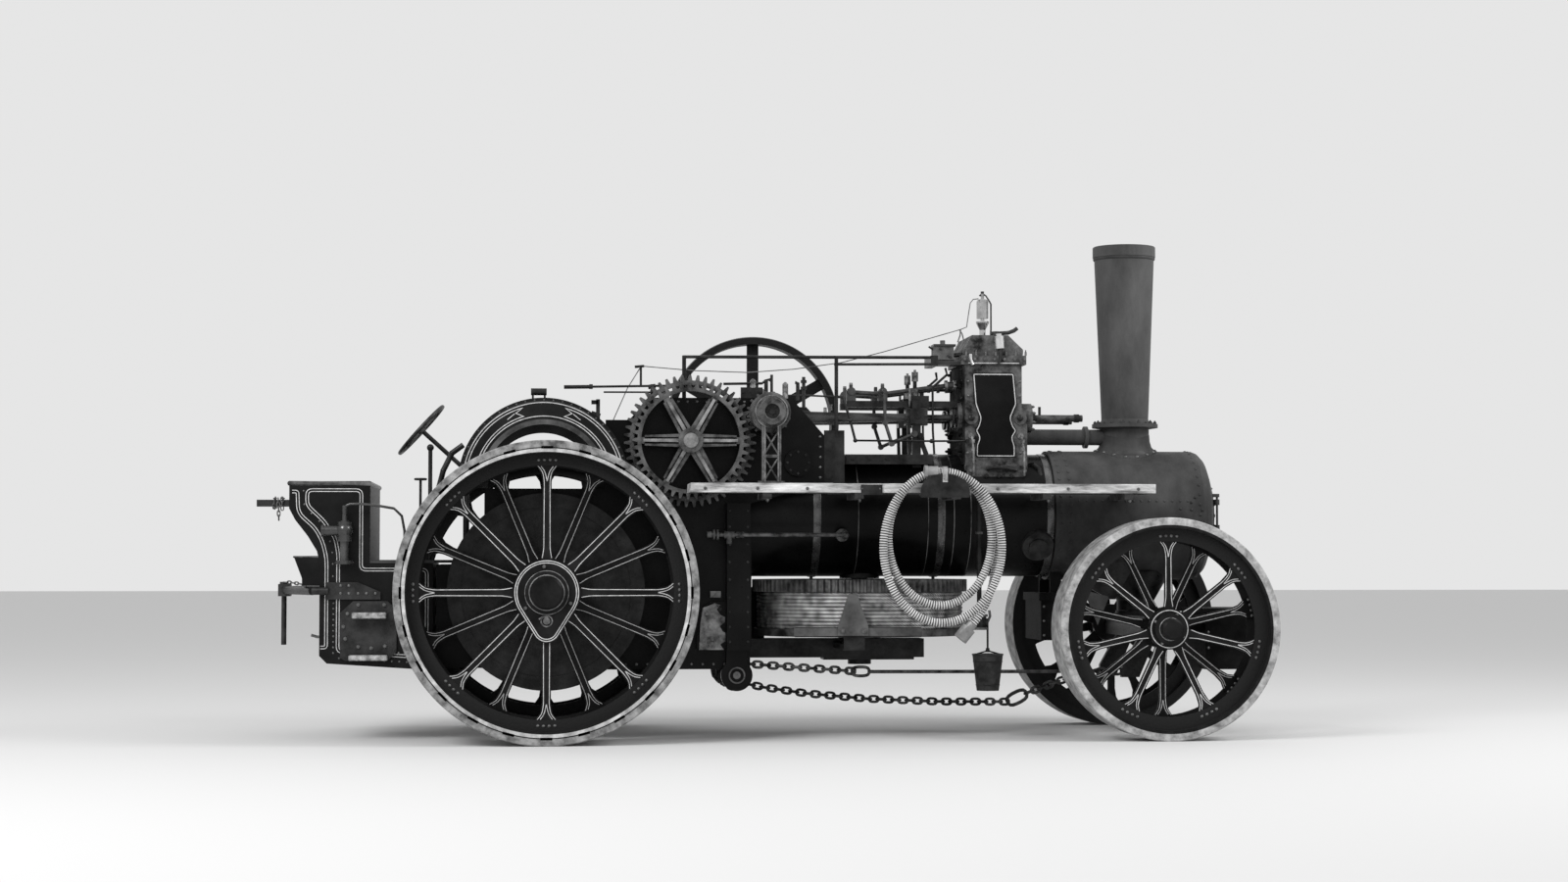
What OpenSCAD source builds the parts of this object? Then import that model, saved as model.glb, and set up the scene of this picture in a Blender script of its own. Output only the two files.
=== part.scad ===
// Steam ploughing engine: a traction engine with a rope drum slung under its boiler.
// X runs forward to the chimney, Y to the engine's left, Z up. The wheels stand on Z = 0.
// Places along X are measured from the hind axle, and the whole engine is then moved so
// that the origin is under the middle of its length.

/* [Wheels] */
// Radius of a hind wheel over its tyre
hind_r = 1000; // [960:5:1040]
// Width of a hind wheel
hind_w = 560; // [500:5:570]
// Middle of the engine to a hind wheel's outer face
hind_face = 1220; // [1215:5:1260]
// Spokes in a hind wheel
hind_spokes = 16; // [12:2:20]
// Radius of the hind axle
hind_axle_r = 75; // [60:1:90]
// Radius of a front wheel over its tyre
front_r = 750; // [720:5:775]
// Width of a front wheel
front_w = 355; // [300:5:365]
// Middle of the engine to a front wheel's outer face
front_face = 1100; // [1090:5:1140]
// Spokes in a front wheel
front_spokes = 14; // [10:2:18]
// Radius of the front axle's ends
front_axle_r = 45; // [35:1:60]
// Hind axle to front axle
wheelbase = 4175; // [4150:5:4250]
// Strakes around a hind wheel, on each edge
strakes = 24; // [18:1:30]

/* [Boiler] */
// Height of the boiler's centre line
boiler_z = 1530; // [1520:5:1560]
// Radius of the boiler barrel
barrel_r = 430; // [410:5:435]
// Radius of the smokebox
smokebox_r = 455; // [445:5:470]
// Thickness of the smokebox plates
smokebox_t = 14; // [8:1:20]
// Back of the firebox
firebox_x = 330; // [300:5:400]
// Where the firebox ends and the barrel starts
barrel_x = 1400; // [1390:2:1410]
// Where the barrel ends and the smokebox starts
smokebox_x = 3522; // [3480:5:3560]
// Front of the smokebox
smokebox_front = 4670; // [4640:5:4690]
// Underside of the firebox
firebox_z = 620; // [580:5:650]
// Radius of the smokebox door
door_r = 250; // [220:5:270]

/* [Chimney] */
// Centre of the chimney
chimney_x = 4106; // [4060:5:4150]
// Height of the chimney's top
chimney_top = 3445; // [3200:5:3600]
// Radius of the chimney barrel at its foot
chimney_low_r = 166; // [150:1:180]
// Radius of the chimney barrel under its cap
chimney_high_r = 212; // [190:1:230]
// Radius of the chimney's bolted flange
chimney_flange_r = 233; // [225:1:250]
// Radius of the mouth inside the cap
chimney_mouth_r = 196; // [180:1:200]

/* [Shafts and gears] */
// Crankshaft, forward of the hind axle
crank_x = 1510; // [1500:2:1520]
// Height of the crankshaft
crank_z = 2215; // [2210:2:2240]
// Radius of the crankshaft
crank_r = 60; // [50:1:70]
// Throw of each crank
throw_r = 150; // [120:5:155]
// Module of the road gears
gear_module = 17; // [16.8:0.1:17.1]
// Teeth of the crank pinion
pinion_teeth = 16; // [15:1:17]
// Teeth of the larger road gear, which the pinion drives
slow_teeth = 51; // [49:1:51]
// Teeth of the smaller road gear
fast_teeth = 45; // [41:1:47]
// Thickness of each road gear
gear_t = 55; // [40:1:56]
// Radius of the second shaft
second_r = 50; // [40:1:60]
// Direction from the crankshaft to the second shaft, above straight back
second_angle = -19.5; // [-21:0.5:-19]
// Radius of the flywheel
flywheel_r = 630; // [560:5:640]
// Width of the flywheel's rim
flywheel_w = 170; // [140:5:200]

/* [Hornplates and frame] */
// Middle of the engine to a hornplate's inner face
horn_y = 470; // [468:1:474]
// Thickness of a hornplate
horn_t = 16; // [10:1:18]
// Underside of the hornplates
horn_z = 470; // [440:5:500]
// Height of the second and crank shaft brackets' top edge
horn_top = 2324; // [2315:1:2350]

/* [Drum] */
// Drum's centre, forward of the hind axle
drum_x = 2200; // [2190:2:2210]
// Radius over the drum's teeth
drum_r = 756; // [720:2:760]
// Teeth around the drum
drum_teeth = 96; // [80:1:110]
// Underside of the drum
drum_z = 690; // [680:2:700]
// Top of the drum's toothed ring
drum_top = 1080; // [1070:1:1085]
// Radius of the drum's stud
stud_r = 60; // [50:1:75]

/* [Cylinders] */
// Back of the cylinder block
cyl_x = 2905; // [2880:5:2930]
// Length of the cylinder block
cyl_len = 405; // [380:5:430]
// Half the width of the cylinder block
cyl_half = 300; // [280:5:320]
// Top of the cylinder block
cyl_top = 2600; // [2560:5:2640]
// Middle of the engine to each cylinder's centre
cyl_y = 190; // [185:1:200]

/* [Tender] */
// Back of the coal bunker
bunker_x = -1719; // [-1760:5:-1700]
// Front of the coal bunker
bunker_front = -1180; // [-1220:5:-1150]
// Top of the coal bunker
bunker_top = 1740; // [1700:5:1800]
// Back of the water tank
tank_x = -1514; // [-1530:2:-1500]
// Front of the water tank
tank_front = -760; // [-780:5:-740]
// Half the width of the tender
tender_half = 600; // [590:1:615]
// Thickness of the bunker's plates
bunker_t = 12; // [8:1:16]
// Height of the footplate's top
footplate_z = 1215; // [1200:5:1240]

/* [Platform] */
// Back end of the side platform
platform_x = 953; // [940:1:1000]
// Front end of the side platform
platform_front = 4101; // [4000:5:4200]
// Top of the side platform
platform_z = 1725; // [1715:1:1735]
// Thickness of the side platform
platform_t = 60; // [40:1:62]
// Middle of the engine to the platform's outer edge
platform_y = 980; // [940:5:985]

/* [Steering] */
// Chain barrel, forward of the hind axle
chain_x = 1294; // [1290:1:1300]
// Height of the chain barrel
chain_z = 430; // [420:1:440]
// Radius of the chain barrel
chain_barrel_r = 75; // [60:1:80]
// Radius of the kingpin
kingpin_r = 60; // [50:1:75]

/* [Hidden] */
$fn = 96;
// How close a shaft runs in its bore, and how close a seated curved face lies
run_gap = 0.1;
seat_gap = 0.3;

// The engine's two ends, which set where the middle is
tow_end = -1989;
box_end = wheelbase + 795;
mid_x = (tow_end + box_end) / 2;

// Shaft places that follow from the gears
gear_span = gear_module * (pinion_teeth + slow_teeth) / 2;
second_x = crank_x - gear_span * cos(second_angle);
second_z = crank_z + gear_span * sin(second_angle);
mesh_angle = atan2(crank_z - second_z, crank_x - second_x);

// Planes outward from the middle on the near side, where the gears run
horn_out = horn_y + horn_t;
slow_y = horn_out + 36;
fast_y = slow_y + gear_t + 8;
shaft_end = 805;

// The suction hose hangs over its peg in two turns, a wide one outside a narrow one. Its
// last stretch leaves their back at the top and falls behind them to the strainer.
hose_r = 27.5;
hose_x = 2612;
hose_top = 1800;
hose_front = -1180;
hose_wide = [404, 501];
hose_narrow = [345, 444];
coil_t = 150;
hose_tail = [[2612, -1056, 1800], [2700, -1045, 1794], [2790, -1033, 1762], [2880, -1027, 1700],
    [2950, -1026, 1610], [2990, -1026, 1500], [3004, -1026, 1380], [3002, -1026, 1260], [2990, -1026, 1140],
    [2966, -1026, 1020], [2930, -1026, 920], [2885, -1026, 845], [2840, -1026, 790]];

// Helpers

module engine() translate([-mid_x, 0, 0]) children();

module block(x0, x1, y0, y1, z0, z1) translate([x0, y0, z0]) cube([x1 - x0, y1 - y0, z1 - z0]);

module peg_x(x, y, z, length, r) translate([x, y, z]) rotate([0, 90, 0]) cylinder(r = r, h = length);

module peg_y(x, y, z, length, r) translate([x, y, z]) rotate([-90, 0, 0]) cylinder(r = r, h = length);

module peg_z(x, y, z, length, r) translate([x, y, z]) cylinder(r = r, h = length);

// A round bar between two points
module bar(a, b, r) {
    v = b - a;
    translate(a) rotate([0, acos(v.z / norm(v)), atan2(v.y, v.x)]) cylinder(r = r, h = norm(v));
}

// An outline in X and Z, t thick, from y towards +Y
module side_plate(y, t) translate([0, y + t, 0]) rotate([90, 0, 0]) linear_extrude(t) children();

module both_sides() {
    children();
    mirror([0, 1, 0]) children();
}

module on_side(side) {
    if (side == "far") mirror([0, 1, 0]) children();
    else children();
}

// The outside of the boiler, from x0 to x1, to seat things on it
module boiler_round(x0, x1, r) peg_x(x0, 0, boiler_z, x1 - x0, r);

// Toothed outline: root and tip radius, the first tooth's centre at angle a0
function gear_points(teeth, root, tip, a0) = [
    for (i = [0 : teeth - 1])
    let (pitch = 360 / teeth, a = a0 + i * pitch)
    for (p = [[root, -0.30], [tip, -0.12], [tip, 0.12], [root, 0.30]])
    [p[0] * cos(a + p[1] * pitch), p[0] * sin(a + p[1] * pitch)]];

function root_of(teeth) = gear_module * (teeth / 2 - 1.25);
function tip_of(teeth) = gear_module * (teeth / 2 + 1);

// Wheels. Each is drawn on the near side, its axle along Y.
// Thickness of a ring's web, of a spoke and of a hub plate
web_t = 12;
spoke_t = 16;
plate_t = 20;

// A wheel's rim: the tyre, the strakes under it with gaps between their ends, the rim
// and two rings whose webs point to the axle and take the spokes
module wheel_rim(r, w, face, tyre_t, strake_t, rim_t, ring_in, inset, count) {
    rim_in = r - tyre_t - strake_t - rim_t;
    gap_long = 0.3 * 2 * PI * r / max(count, 1);
    gap_deep = 90;
    bevel = 6;
    translate([0, -face, r]) rotate([-90, 0, 0]) difference() {
        rotate_extrude() {
            polygon([[rim_in, 0], [r - bevel, 0], [r, bevel], [r, w - bevel], [r - bevel, w], [rim_in, w]]);
            for (z = [inset, w - inset - web_t])
                translate([ring_in, z]) square([rim_in - ring_in + 1, web_t]);
        }
        for (i = [0 : count - 1]) {
            rotate([0, 0, i * 360 / count])
                translate([rim_in + rim_t, -gap_long / 2, -1]) cube([strake_t, gap_long, gap_deep + 1]);
            rotate([0, 0, (i + 0.5) * 360 / count])
                translate([rim_in + rim_t, -gap_long / 2, w - gap_deep]) cube([strake_t, gap_long, gap_deep + 1]);
        }
    }
}

// A flat spoke, forked out where it meets the ring
module spoke_outline(r0, ring_in, half) {
    r1 = ring_in + 60;
    polygon([[r0, -1.4 * half], [r0 + 120, -half], [ring_in - 110, -0.85 * half], [ring_in - 45, -1.2 * half],
        [ring_in + 6, -2.3 * half], [r1, -2.5 * half], [r1, 2.5 * half], [ring_in + 6, 2.3 * half],
        [ring_in - 45, 1.2 * half], [ring_in - 110, 0.85 * half], [r0 + 120, half], [r0, 1.4 * half]]);
}

// A wheel's hub with its spokes, which lie by turns in a near and a far row
module wheel_centre(r, w, face, ring_in, inset, count, half, plate_r, cap_r, cap_len, axle_r) {
    z0 = inset + web_t;
    z1 = w - z0;
    core_r = 0.62 * plate_r;
    collar_r = cap_r + 34;
    blind = 45 - cap_len;
    difference() {
        union() {
            translate([0, -face, r]) rotate([-90, 0, 0]) {
                rotate_extrude() polygon([[0, -cap_len], [cap_r - 14, -cap_len], [cap_r, 14 - cap_len],
                    [cap_r, z0 - plate_t - 40], [collar_r, z0 - plate_t - 32], [collar_r, z0 - plate_t],
                    [plate_r, z0 - plate_t], [plate_r, z0 + spoke_t + plate_t], [core_r, z0 + spoke_t + plate_t],
                    [core_r, z1 - spoke_t - plate_t], [plate_r, z1 - spoke_t - plate_t], [plate_r, z1 + plate_t],
                    [0, z1 + plate_t]]);
                for (i = [0 : count - 1])
                    rotate([0, 0, -90 + i * 360 / count])
                        translate([0, 0, i % 2 == 0 ? z0 : z1 - spoke_t])
                            linear_extrude(spoke_t) spoke_outline(core_r - 20, ring_in, half);
            }
            children();
        }
        peg_y(0, blind - face, r, z1 + plate_t + 1 - blind, axle_r + run_gap);
    }
}

// Hind wheel sizes below the driving ones
hind_ring_in = hind_r - 164;
hind_inset = 100;
hind_plate_r = 215;
hind_cap_r = 110;
hind_cap_len = 80;
lobe_r = 95;
lobe_down = 235;
lobe_pin_r = 32;
lobe_pin_down = 186;

// Front wheel sizes below the driving ones
front_ring_in = front_r - 160;
front_inset = 65;
front_plate_r = 138;
front_cap_r = 72;
front_cap_len = 70;

module hind_rim(side) on_side(side)
    wheel_rim(hind_r, hind_w, hind_face, 40, 18, 27, hind_ring_in, hind_inset, strakes);

// The hub's outer plate hangs down in a lobe that takes the driving pin
module hind_centre(side) on_side(side) {
    lobe_y = hind_inset - 11 - hind_face;
    disc_r = hind_plate_r + 5;
    tilt = asin((disc_r - lobe_r) / lobe_down);
    difference() {
        wheel_centre(hind_r, hind_w, hind_face, hind_ring_in, hind_inset, hind_spokes, 26,
            hind_plate_r, hind_cap_r, hind_cap_len, hind_axle_r)
            translate([0, 0, hind_r]) side_plate(lobe_y, 12) {
                circle(disc_r);
                translate([0, -lobe_down]) circle(lobe_r);
                polygon([for (c = [[-1, disc_r, 0], [1, disc_r, 0], [1, lobe_r, lobe_down], [-1, lobe_r, lobe_down]])
                    [c[0] * c[1] * cos(tilt), -c[2] - c[1] * sin(tilt)]]);
            }
        peg_y(0, lobe_y - 1, hind_r - lobe_pin_down, 22, lobe_pin_r);
    }
}

module front_rim(side) on_side(side) translate([wheelbase, 0, 0])
    wheel_rim(front_r, front_w, front_face, 50, 0, 20, front_ring_in, front_inset, 0);

module front_centre(side) on_side(side) translate([wheelbase, 0, 0])
    wheel_centre(front_r, front_w, front_face, front_ring_in, front_inset, front_spokes, 24,
        front_plate_r, front_cap_r, front_cap_len, front_axle_r);

module hind_near_rim() color("dimgray") hind_rim("near");
module hind_near_centre() color([0.1, 0.1, 0.1]) hind_centre("near");
module hind_far_rim() color("dimgray") hind_rim("far");
module hind_far_centre() color([0.1, 0.1, 0.1]) hind_centre("far");
module front_near_rim() color("dimgray") front_rim("near");
module front_near_centre() color([0.1, 0.1, 0.1]) front_centre("near");
module front_far_rim() color("dimgray") front_rim("far");
module front_far_centre() color([0.1, 0.1, 0.1]) front_centre("far");

// The last gear of the road drive turns with the near hind wheel, on a sleeve from its hub
final_teeth = 76;
module final_gear() color([0.12, 0.12, 0.12]) difference() {
    hub_end = hind_face - hind_w + hind_inset + web_t - plate_t;
    rim_in = root_of(final_teeth) - 40;
    union() {
        translate([0, 0, hind_r]) {
            side_plate(-fast_y - gear_t, gear_t) difference() {
                polygon(gear_points(final_teeth, root_of(final_teeth), tip_of(final_teeth), 0));
                circle(rim_in);
            }
            side_plate(-fast_y - gear_t + 18, 20) circle(rim_in + 1);
        }
        peg_y(0, -hub_end, hind_r, hub_end - fast_y - 8, 130);
    }
    peg_y(0, -hub_end - 1, hind_r, hub_end - fast_y + 2, hind_axle_r + run_gap);
}

// The hind axle runs across in the hornplates and ends inside the hub caps
module hind_axle() color("gray") {
    end = hind_face + hind_cap_len - 50;
    peg_y(0, -end, hind_r, 2 * end, hind_axle_r);
}

// Boiler

module boiler_barrel() color([0.1, 0.1, 0.1]) boiler_round(barrel_x, smokebox_x, barrel_r);

module firebox() color([0.1, 0.1, 0.1]) {
    round_z = boiler_z - 30;
    translate([firebox_x, 0, 0]) rotate([90, 0, 90]) linear_extrude(barrel_x - firebox_x) {
        translate([0, round_z]) circle(horn_y);
        translate([-horn_y, firebox_z]) square([2 * horn_y, round_z - firebox_z]);
    }
    peg_x(firebox_x - 30, 0, footplate_z + 195, 31, 170);
}

module ashpan() color([0.1, 0.1, 0.1]) side_plate(-400, 800)
    polygon([[firebox_x + 40, firebox_z], [firebox_x + 120, horn_z], [barrel_x - 230, horn_z], [barrel_x - 210, 560],
        [barrel_x - 80, firebox_z]]);

// Hollow behind its door, with a hole in its top for the chimney
module smokebox() color([0.35, 0.35, 0.35]) {
    inner = smokebox_r - smokebox_t;
    dome = smokebox_front - 80;
    depth = smokebox_front - smokebox_x;
    difference() {
        translate([smokebox_x, 0, boiler_z]) rotate([0, 90, 0]) rotate_extrude() polygon([
            [door_r - 20, depth], [door_r + 20, depth], [smokebox_r - 110, depth - 12], [smokebox_r - 45, depth - 38],
            [smokebox_r - 12, depth - 70], [smokebox_r, dome - smokebox_x - 20], [smokebox_r, 0], [barrel_r - 60, 0],
            [barrel_r - 60, smokebox_t], [inner, smokebox_t],
            [inner, dome - smokebox_x - 30], [smokebox_r - 55, depth - 50], [door_r - 20, depth - smokebox_t]]);
        peg_z(chimney_x, 0, boiler_z, 600, chimney_low_r - 8);
    }
    for (s = [-1, 1]) {
        low = boiler_z + s * 137 - 12;
        block(smokebox_front - 20, hinge_x + 14, hinge_y - 14, hinge_y + 14, low, low + 24);
    }
    peg_z(hinge_x, hinge_y, boiler_z - 140, 280, 8);
}

// The door swings on a pin at its near edge
hinge_x = smokebox_front + 30;
hinge_y = -door_r - 32;
module smokebox_door() color([0.3, 0.3, 0.3]) {
    back = smokebox_front + 6;
    translate([back, 0, boiler_z]) rotate([0, 90, 0]) rotate_extrude() polygon([
        [0, 0], [door_r, 0], [door_r, 14], [door_r - 30, 20], [60, 32], [30, 34], [30, 46], [0, 46]]);
    peg_x(back + 40, 0, boiler_z, 40, 12);
    for (z = [boiler_z - 110, boiler_z + 70]) difference() {
        union() {
            block(back + 13, back + 35, hinge_y, -120, z, z + 40);
            peg_z(hinge_x, hinge_y, z, 40, 18);
        }
        peg_z(hinge_x, hinge_y, z - 1, 42, 8 + run_gap);
    }
    block(back + 46, back + 60, -14, 14, boiler_z - 100, boiler_z + 12);
}

module chimney() color([0.35, 0.35, 0.35]) {
    foot = boiler_z + smokebox_r - 90;
    flange = boiler_z + smokebox_r + 178;
    cap = chimney_top - 80;
    wall = 8;
    difference() {
        translate([chimney_x, 0, 0]) rotate_extrude() polygon([
            [chimney_low_r - wall, foot], [chimney_low_r + 46, foot], [chimney_low_r + 40, foot + 70],
            [chimney_low_r + 12, foot + 100], [chimney_low_r + 4, foot + 130], [chimney_low_r + 4, flange - 20],
            [chimney_flange_r, flange - 10], [chimney_flange_r, flange + 16], [chimney_low_r + 10, flange + 18],
            [chimney_low_r, flange + 50], [chimney_high_r, cap], [chimney_high_r + 10, cap + 4],
            [chimney_high_r + 10, chimney_top - 6], [chimney_high_r + 4, chimney_top], [chimney_mouth_r, chimney_top],
            [chimney_mouth_r, cap - 20], [chimney_low_r - wall, flange]]);
        boiler_round(chimney_x - 400, chimney_x + 400, smokebox_r + seat_gap);
    }
}

// Cylinders and motion

cyl_end = cyl_x + cyl_len;
rod_z = crank_z - 5;
lip = 22;

module cylinder_block() color([0.1, 0.1, 0.1]) difference() {
    union() {
        side_plate(-cyl_half, 2 * cyl_half)
            polygon([[cyl_x, boiler_z + 240], [cyl_end + 37, boiler_z + 240], [cyl_end + 37, 2160],
                [cyl_end, 2200], [cyl_end, cyl_top], [cyl_end + 10, cyl_top + 60], [cyl_end + 10, cyl_top + 84], [cyl_end - 95, cyl_top + 185],
                [cyl_x + 55, cyl_top + 185], [cyl_x, cyl_top + 84]]);
        side_plate(-cyl_half - 40, 2 * cyl_half + 80)
            polygon([[cyl_x + 10, boiler_z + 240], [cyl_end + 25, boiler_z + 240], [cyl_end + 25, 1870], [cyl_x + 10, 1870]]);
        block(cyl_x - lip, cyl_end + lip + 8, -cyl_half - 15, cyl_half + 15, cyl_top - 22, cyl_top + 42);
        for (x = [cyl_x + 44, cyl_end - 17]) for (y = [-cyl_half - 28, cyl_half - 60]) peg_y(x, y, rod_z - 6, 88, 46);
        for (y = [-cyl_y, cyl_y]) {
            peg_x(cyl_x - 40, y, rod_z, 41, 105);
            peg_x(cyl_end, y, rod_z, 80, 102);
            peg_x(cyl_end + 79, y, rod_z, 370, 24);
        }
    }
    boiler_round(cyl_x - 200, cyl_end + 200, barrel_r + seat_gap);
}

module whistle() color("silver") {
    translate([3083, 0, cyl_top + 185]) rotate_extrude() polygon([
        [0, 0], [22, 0], [22, 60], [46, 110], [46, 122], [14, 122], [14, 140], [42, 140],
        [42, 262], [34, 276], [12, 282], [12, 318], [0, 320]]);
    peg_z(3170, -60, cyl_top + 185, 40, 26);
    bar([3170, -60, cyl_top + 210], [3290, -60, cyl_top + 235], 11);
}

lever_end = 2690;
module lubricator() color("gray") {
    block(lever_end, cyl_x - lip, -230, -120, cyl_top - 16, cyl_top + 16);
    block(lever_end + 10, lever_end + 150, -240, -110, cyl_top + 16, cyl_top + 110);
    peg_z(lever_end + 80, -175, cyl_top + 110, 45, 18);
}

slide_z = rod_z + 70;
module slide_bars() color("dimgray") both_sides() {
    block(2085, cyl_x - 40, -cyl_y - 32, -cyl_y + 32, slide_z, slide_z + 45);
    difference() {
        union() {
            block(2540, 2600, -cyl_y - 90, -cyl_y - 62, boiler_z + 200, slide_z + 45);
            block(2540, 2600, -cyl_y - 90, -cyl_y - 32, slide_z, slide_z + 45);
            block(2060, 2660, -cyl_y - 250, -cyl_y - 62, 1875, 1940);
        }
        boiler_round(2000, 2800, barrel_r + seat_gap);
    }
}

// Rocking levers between the slide bars and the valve rods
module valve_gear() color("dimgray") both_sides() {
    top = slide_z + 45;
    link_y = -cyl_y - 110;
    pin = [2552, link_y, 2092];
    knee = [2393, link_y, 2023];
    head = [2346, link_y, 2170];
    valve_z = 2440;
    for (x = [2120, 2342]) {
        block(x - 32, x + 32, -cyl_y - 30, -cyl_y + 30, top, top + 70);
        peg_y(x, -cyl_y - 42, top + 66, 84, 28);
        peg_z(x, -cyl_y, top + 80, 34, 13);
    }
    bar([2120, -cyl_y, top + 62], [2342, -cyl_y, top + 50], 15);
    bar([2342, -cyl_y, top + 50], [2820, -cyl_y, valve_z], 15);
    peg_x(2790, -cyl_y, valve_z, cyl_x - 2790, 24);
    bar(pin, knee, 12);
    bar(knee, head, 12);
    bar(head, [2342, link_y, top + 66], 12);
    peg_y(pin.x, link_y - 14, pin.z, -cyl_y - 90 - link_y + 14, 22);
    peg_y(knee.x, link_y - 18, knee.z, 36, 20);
    peg_y(head.x, link_y - 18, head.z, 36, 20);
    peg_y(2342, link_y - 18, top + 66, 120, 16);
}

// Each rod stops short of its crank, whose pin it would hold
module connecting_rods() color("silver") both_sides() {
    block(2500, 2655, -cyl_y - 45, -cyl_y + 45, rod_z - 55, slide_z);
    peg_x(2654, -cyl_y, rod_z, cyl_x - 40 - 2654, 22);
    big_end = crank_x + throw_r + 85;
    side_plate(-cyl_y - 16, 32) polygon([[big_end, rod_z - 70], [big_end + 60, rod_z - 70], [big_end + 90, rod_z - 38],
        [2501, rod_z - 26], [2501, rod_z + 26], [big_end + 90, rod_z + 38], [big_end + 60, rod_z + 70], [big_end, rod_z + 70]]);
}

exhaust_z = 2085;
module exhaust_pipe() color([0.15, 0.15, 0.15]) difference() {
    union() {
        peg_x(cyl_end + 37, 0, exhaust_z, chimney_x - cyl_end - 37, 56);
        peg_x(chimney_x - 300, 0, exhaust_z, 26, 78);
    }
    peg_z(chimney_x, 0, 1900, 400, chimney_low_r + 4 + seat_gap);
}

// Hornplates and shafts

module hornplates() color([0.1, 0.1, 0.1]) both_sides() side_plate(-horn_out, horn_t) difference() {
    polygon([[-740, horn_z + 20], [-740, 1185], [-420, 1185], [-420, 1700], [400, 1700], [400, 2170], [560, 2170],
        [700, horn_top], [1675, horn_top], [1900, 2070], [1900, 1740], [barrel_x - 10, 1600], [barrel_x - 10, horn_z],
        [200, horn_z]]);
    translate([0, hind_r]) circle(hind_axle_r + run_gap);
    translate([second_x, second_z]) circle(second_r + run_gap);
    translate([crank_x, crank_z]) circle(crank_r + 14);
}

module crank_bearings() color("dimgray") both_sides() difference() {
    block(crank_x - 110, crank_x + 110, -horn_y, -horn_y + 90, crank_z - 120, crank_z + 130);
    peg_y(crank_x, -horn_y - 1, crank_z, 92, crank_r + run_gap);
}

// A braced strut that stands on the platform and holds the crankshaft's near end
module shaft_strut() color("dimgray") {
    inner = shaft_end - 65;
    reach = 112;
    difference() {
        union() {
            peg_y(crank_x, -shaft_end, crank_z, 65, reach);
            for (s = [-1, 1]) block(crank_x + s * 56 - 9, crank_x + s * 56 + 9, -shaft_end + 8, -inner - 8, platform_z, crank_z);
            block(crank_x - 90, crank_x + 90, -shaft_end, -inner, platform_z, platform_z + 22);
            block(crank_x - 50, crank_x + 50, -shaft_end + 20, -inner - 20, platform_z + 180, platform_z + 200);
        }
        peg_y(crank_x, -shaft_end - 1, crank_z, 67, crank_r + run_gap);
    }
    for (z = [platform_z + 22, platform_z + 200]) {
        bar([crank_x - 50, -inner - 32, z], [crank_x + 50, -inner - 32, z + 160], 7);
        bar([crank_x + 50, -inner - 32, z], [crank_x - 50, -inner - 32, z + 160], 7);
    }
}

// Two cranks at right angles, the near one pointing forward at rest
module crankshaft() color("silver") translate([crank_x, 0, crank_z]) {
    web_t = 40;
    web_gap = 90;
    inner = cyl_y - web_gap / 2;
    outer = cyl_y + web_gap / 2;
    far_end = 905;
    peg_y(0, -shaft_end, 0, shaft_end - outer, crank_r);
    peg_y(0, -inner, 0, 2 * inner, crank_r);
    peg_y(0, outer, 0, far_end - outer, crank_r);
    for (c = [[-1, 0], [1, 90]]) rotate([0, -c[1], 0]) {
        for (y = [inner - web_t, outer]) translate([0, c[0] < 0 ? -y - web_t : y, 0]) side_plate(0, web_t) {
            translate([-85, -62]) square([throw_r + 85, 124]);
            translate([throw_r, 0]) circle(62);
        }
        peg_y(throw_r, c[0] < 0 ? -outer - 1 : inner - 1, 0, web_gap + 2, 48);
    }
    difference() {
        peg_y(0, -shaft_end - 55, 0, 50, 92);
        peg_y(0, -shaft_end - 56, 0, 30, 52);
    }
    peg_y(0, -shaft_end - 6, 0, 7, crank_r);
}

// The pinion has a broad collar outside the gears
module crank_pinion() color("gray") difference() {
    union() {
        translate([crank_x, 0, crank_z]) side_plate(-slow_y - gear_t, gear_t)
            polygon(gear_points(pinion_teeth, root_of(pinion_teeth), tip_of(pinion_teeth),
                mesh_angle + 180 + 180 / pinion_teeth));
        peg_y(crank_x, -shaft_end + 75, crank_z, shaft_end - 75 - fast_y - 8, 137);
        peg_y(crank_x, -shaft_end + 72, crank_z, shaft_end - 72 - slow_y - 20, 90);
    }
    peg_y(crank_x, -shaft_end + 71, crank_z, shaft_end - 70 - slow_y, crank_r);
}

module flywheel() color([0.1, 0.1, 0.1]) translate([crank_x, 720, crank_z]) rotate([-90, 0, 0]) difference() {
    union() {
        rotate_extrude() polygon([[flywheel_r - 55, 0], [flywheel_r - 6, 0], [flywheel_r, 20], [flywheel_r, flywheel_w - 20],
            [flywheel_r - 6, flywheel_w], [flywheel_r - 55, flywheel_w]]);
        cylinder(r = 112, h = flywheel_w + 30);
        for (i = [0 : 5]) rotate([0, 0, 90 + i * 60]) translate([90, -42, flywheel_w / 2 - 17])
            cube([flywheel_r - 55 - 88, 84, 34]);
    }
    translate([0, 0, -1]) cylinder(r = crank_r, h = flywheel_w + 40);
}

module second_shaft() color("silver") peg_y(second_x, -fast_y - gear_t - 30, second_z, fast_y + gear_t + 30 + horn_out + 80, second_r);

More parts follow.
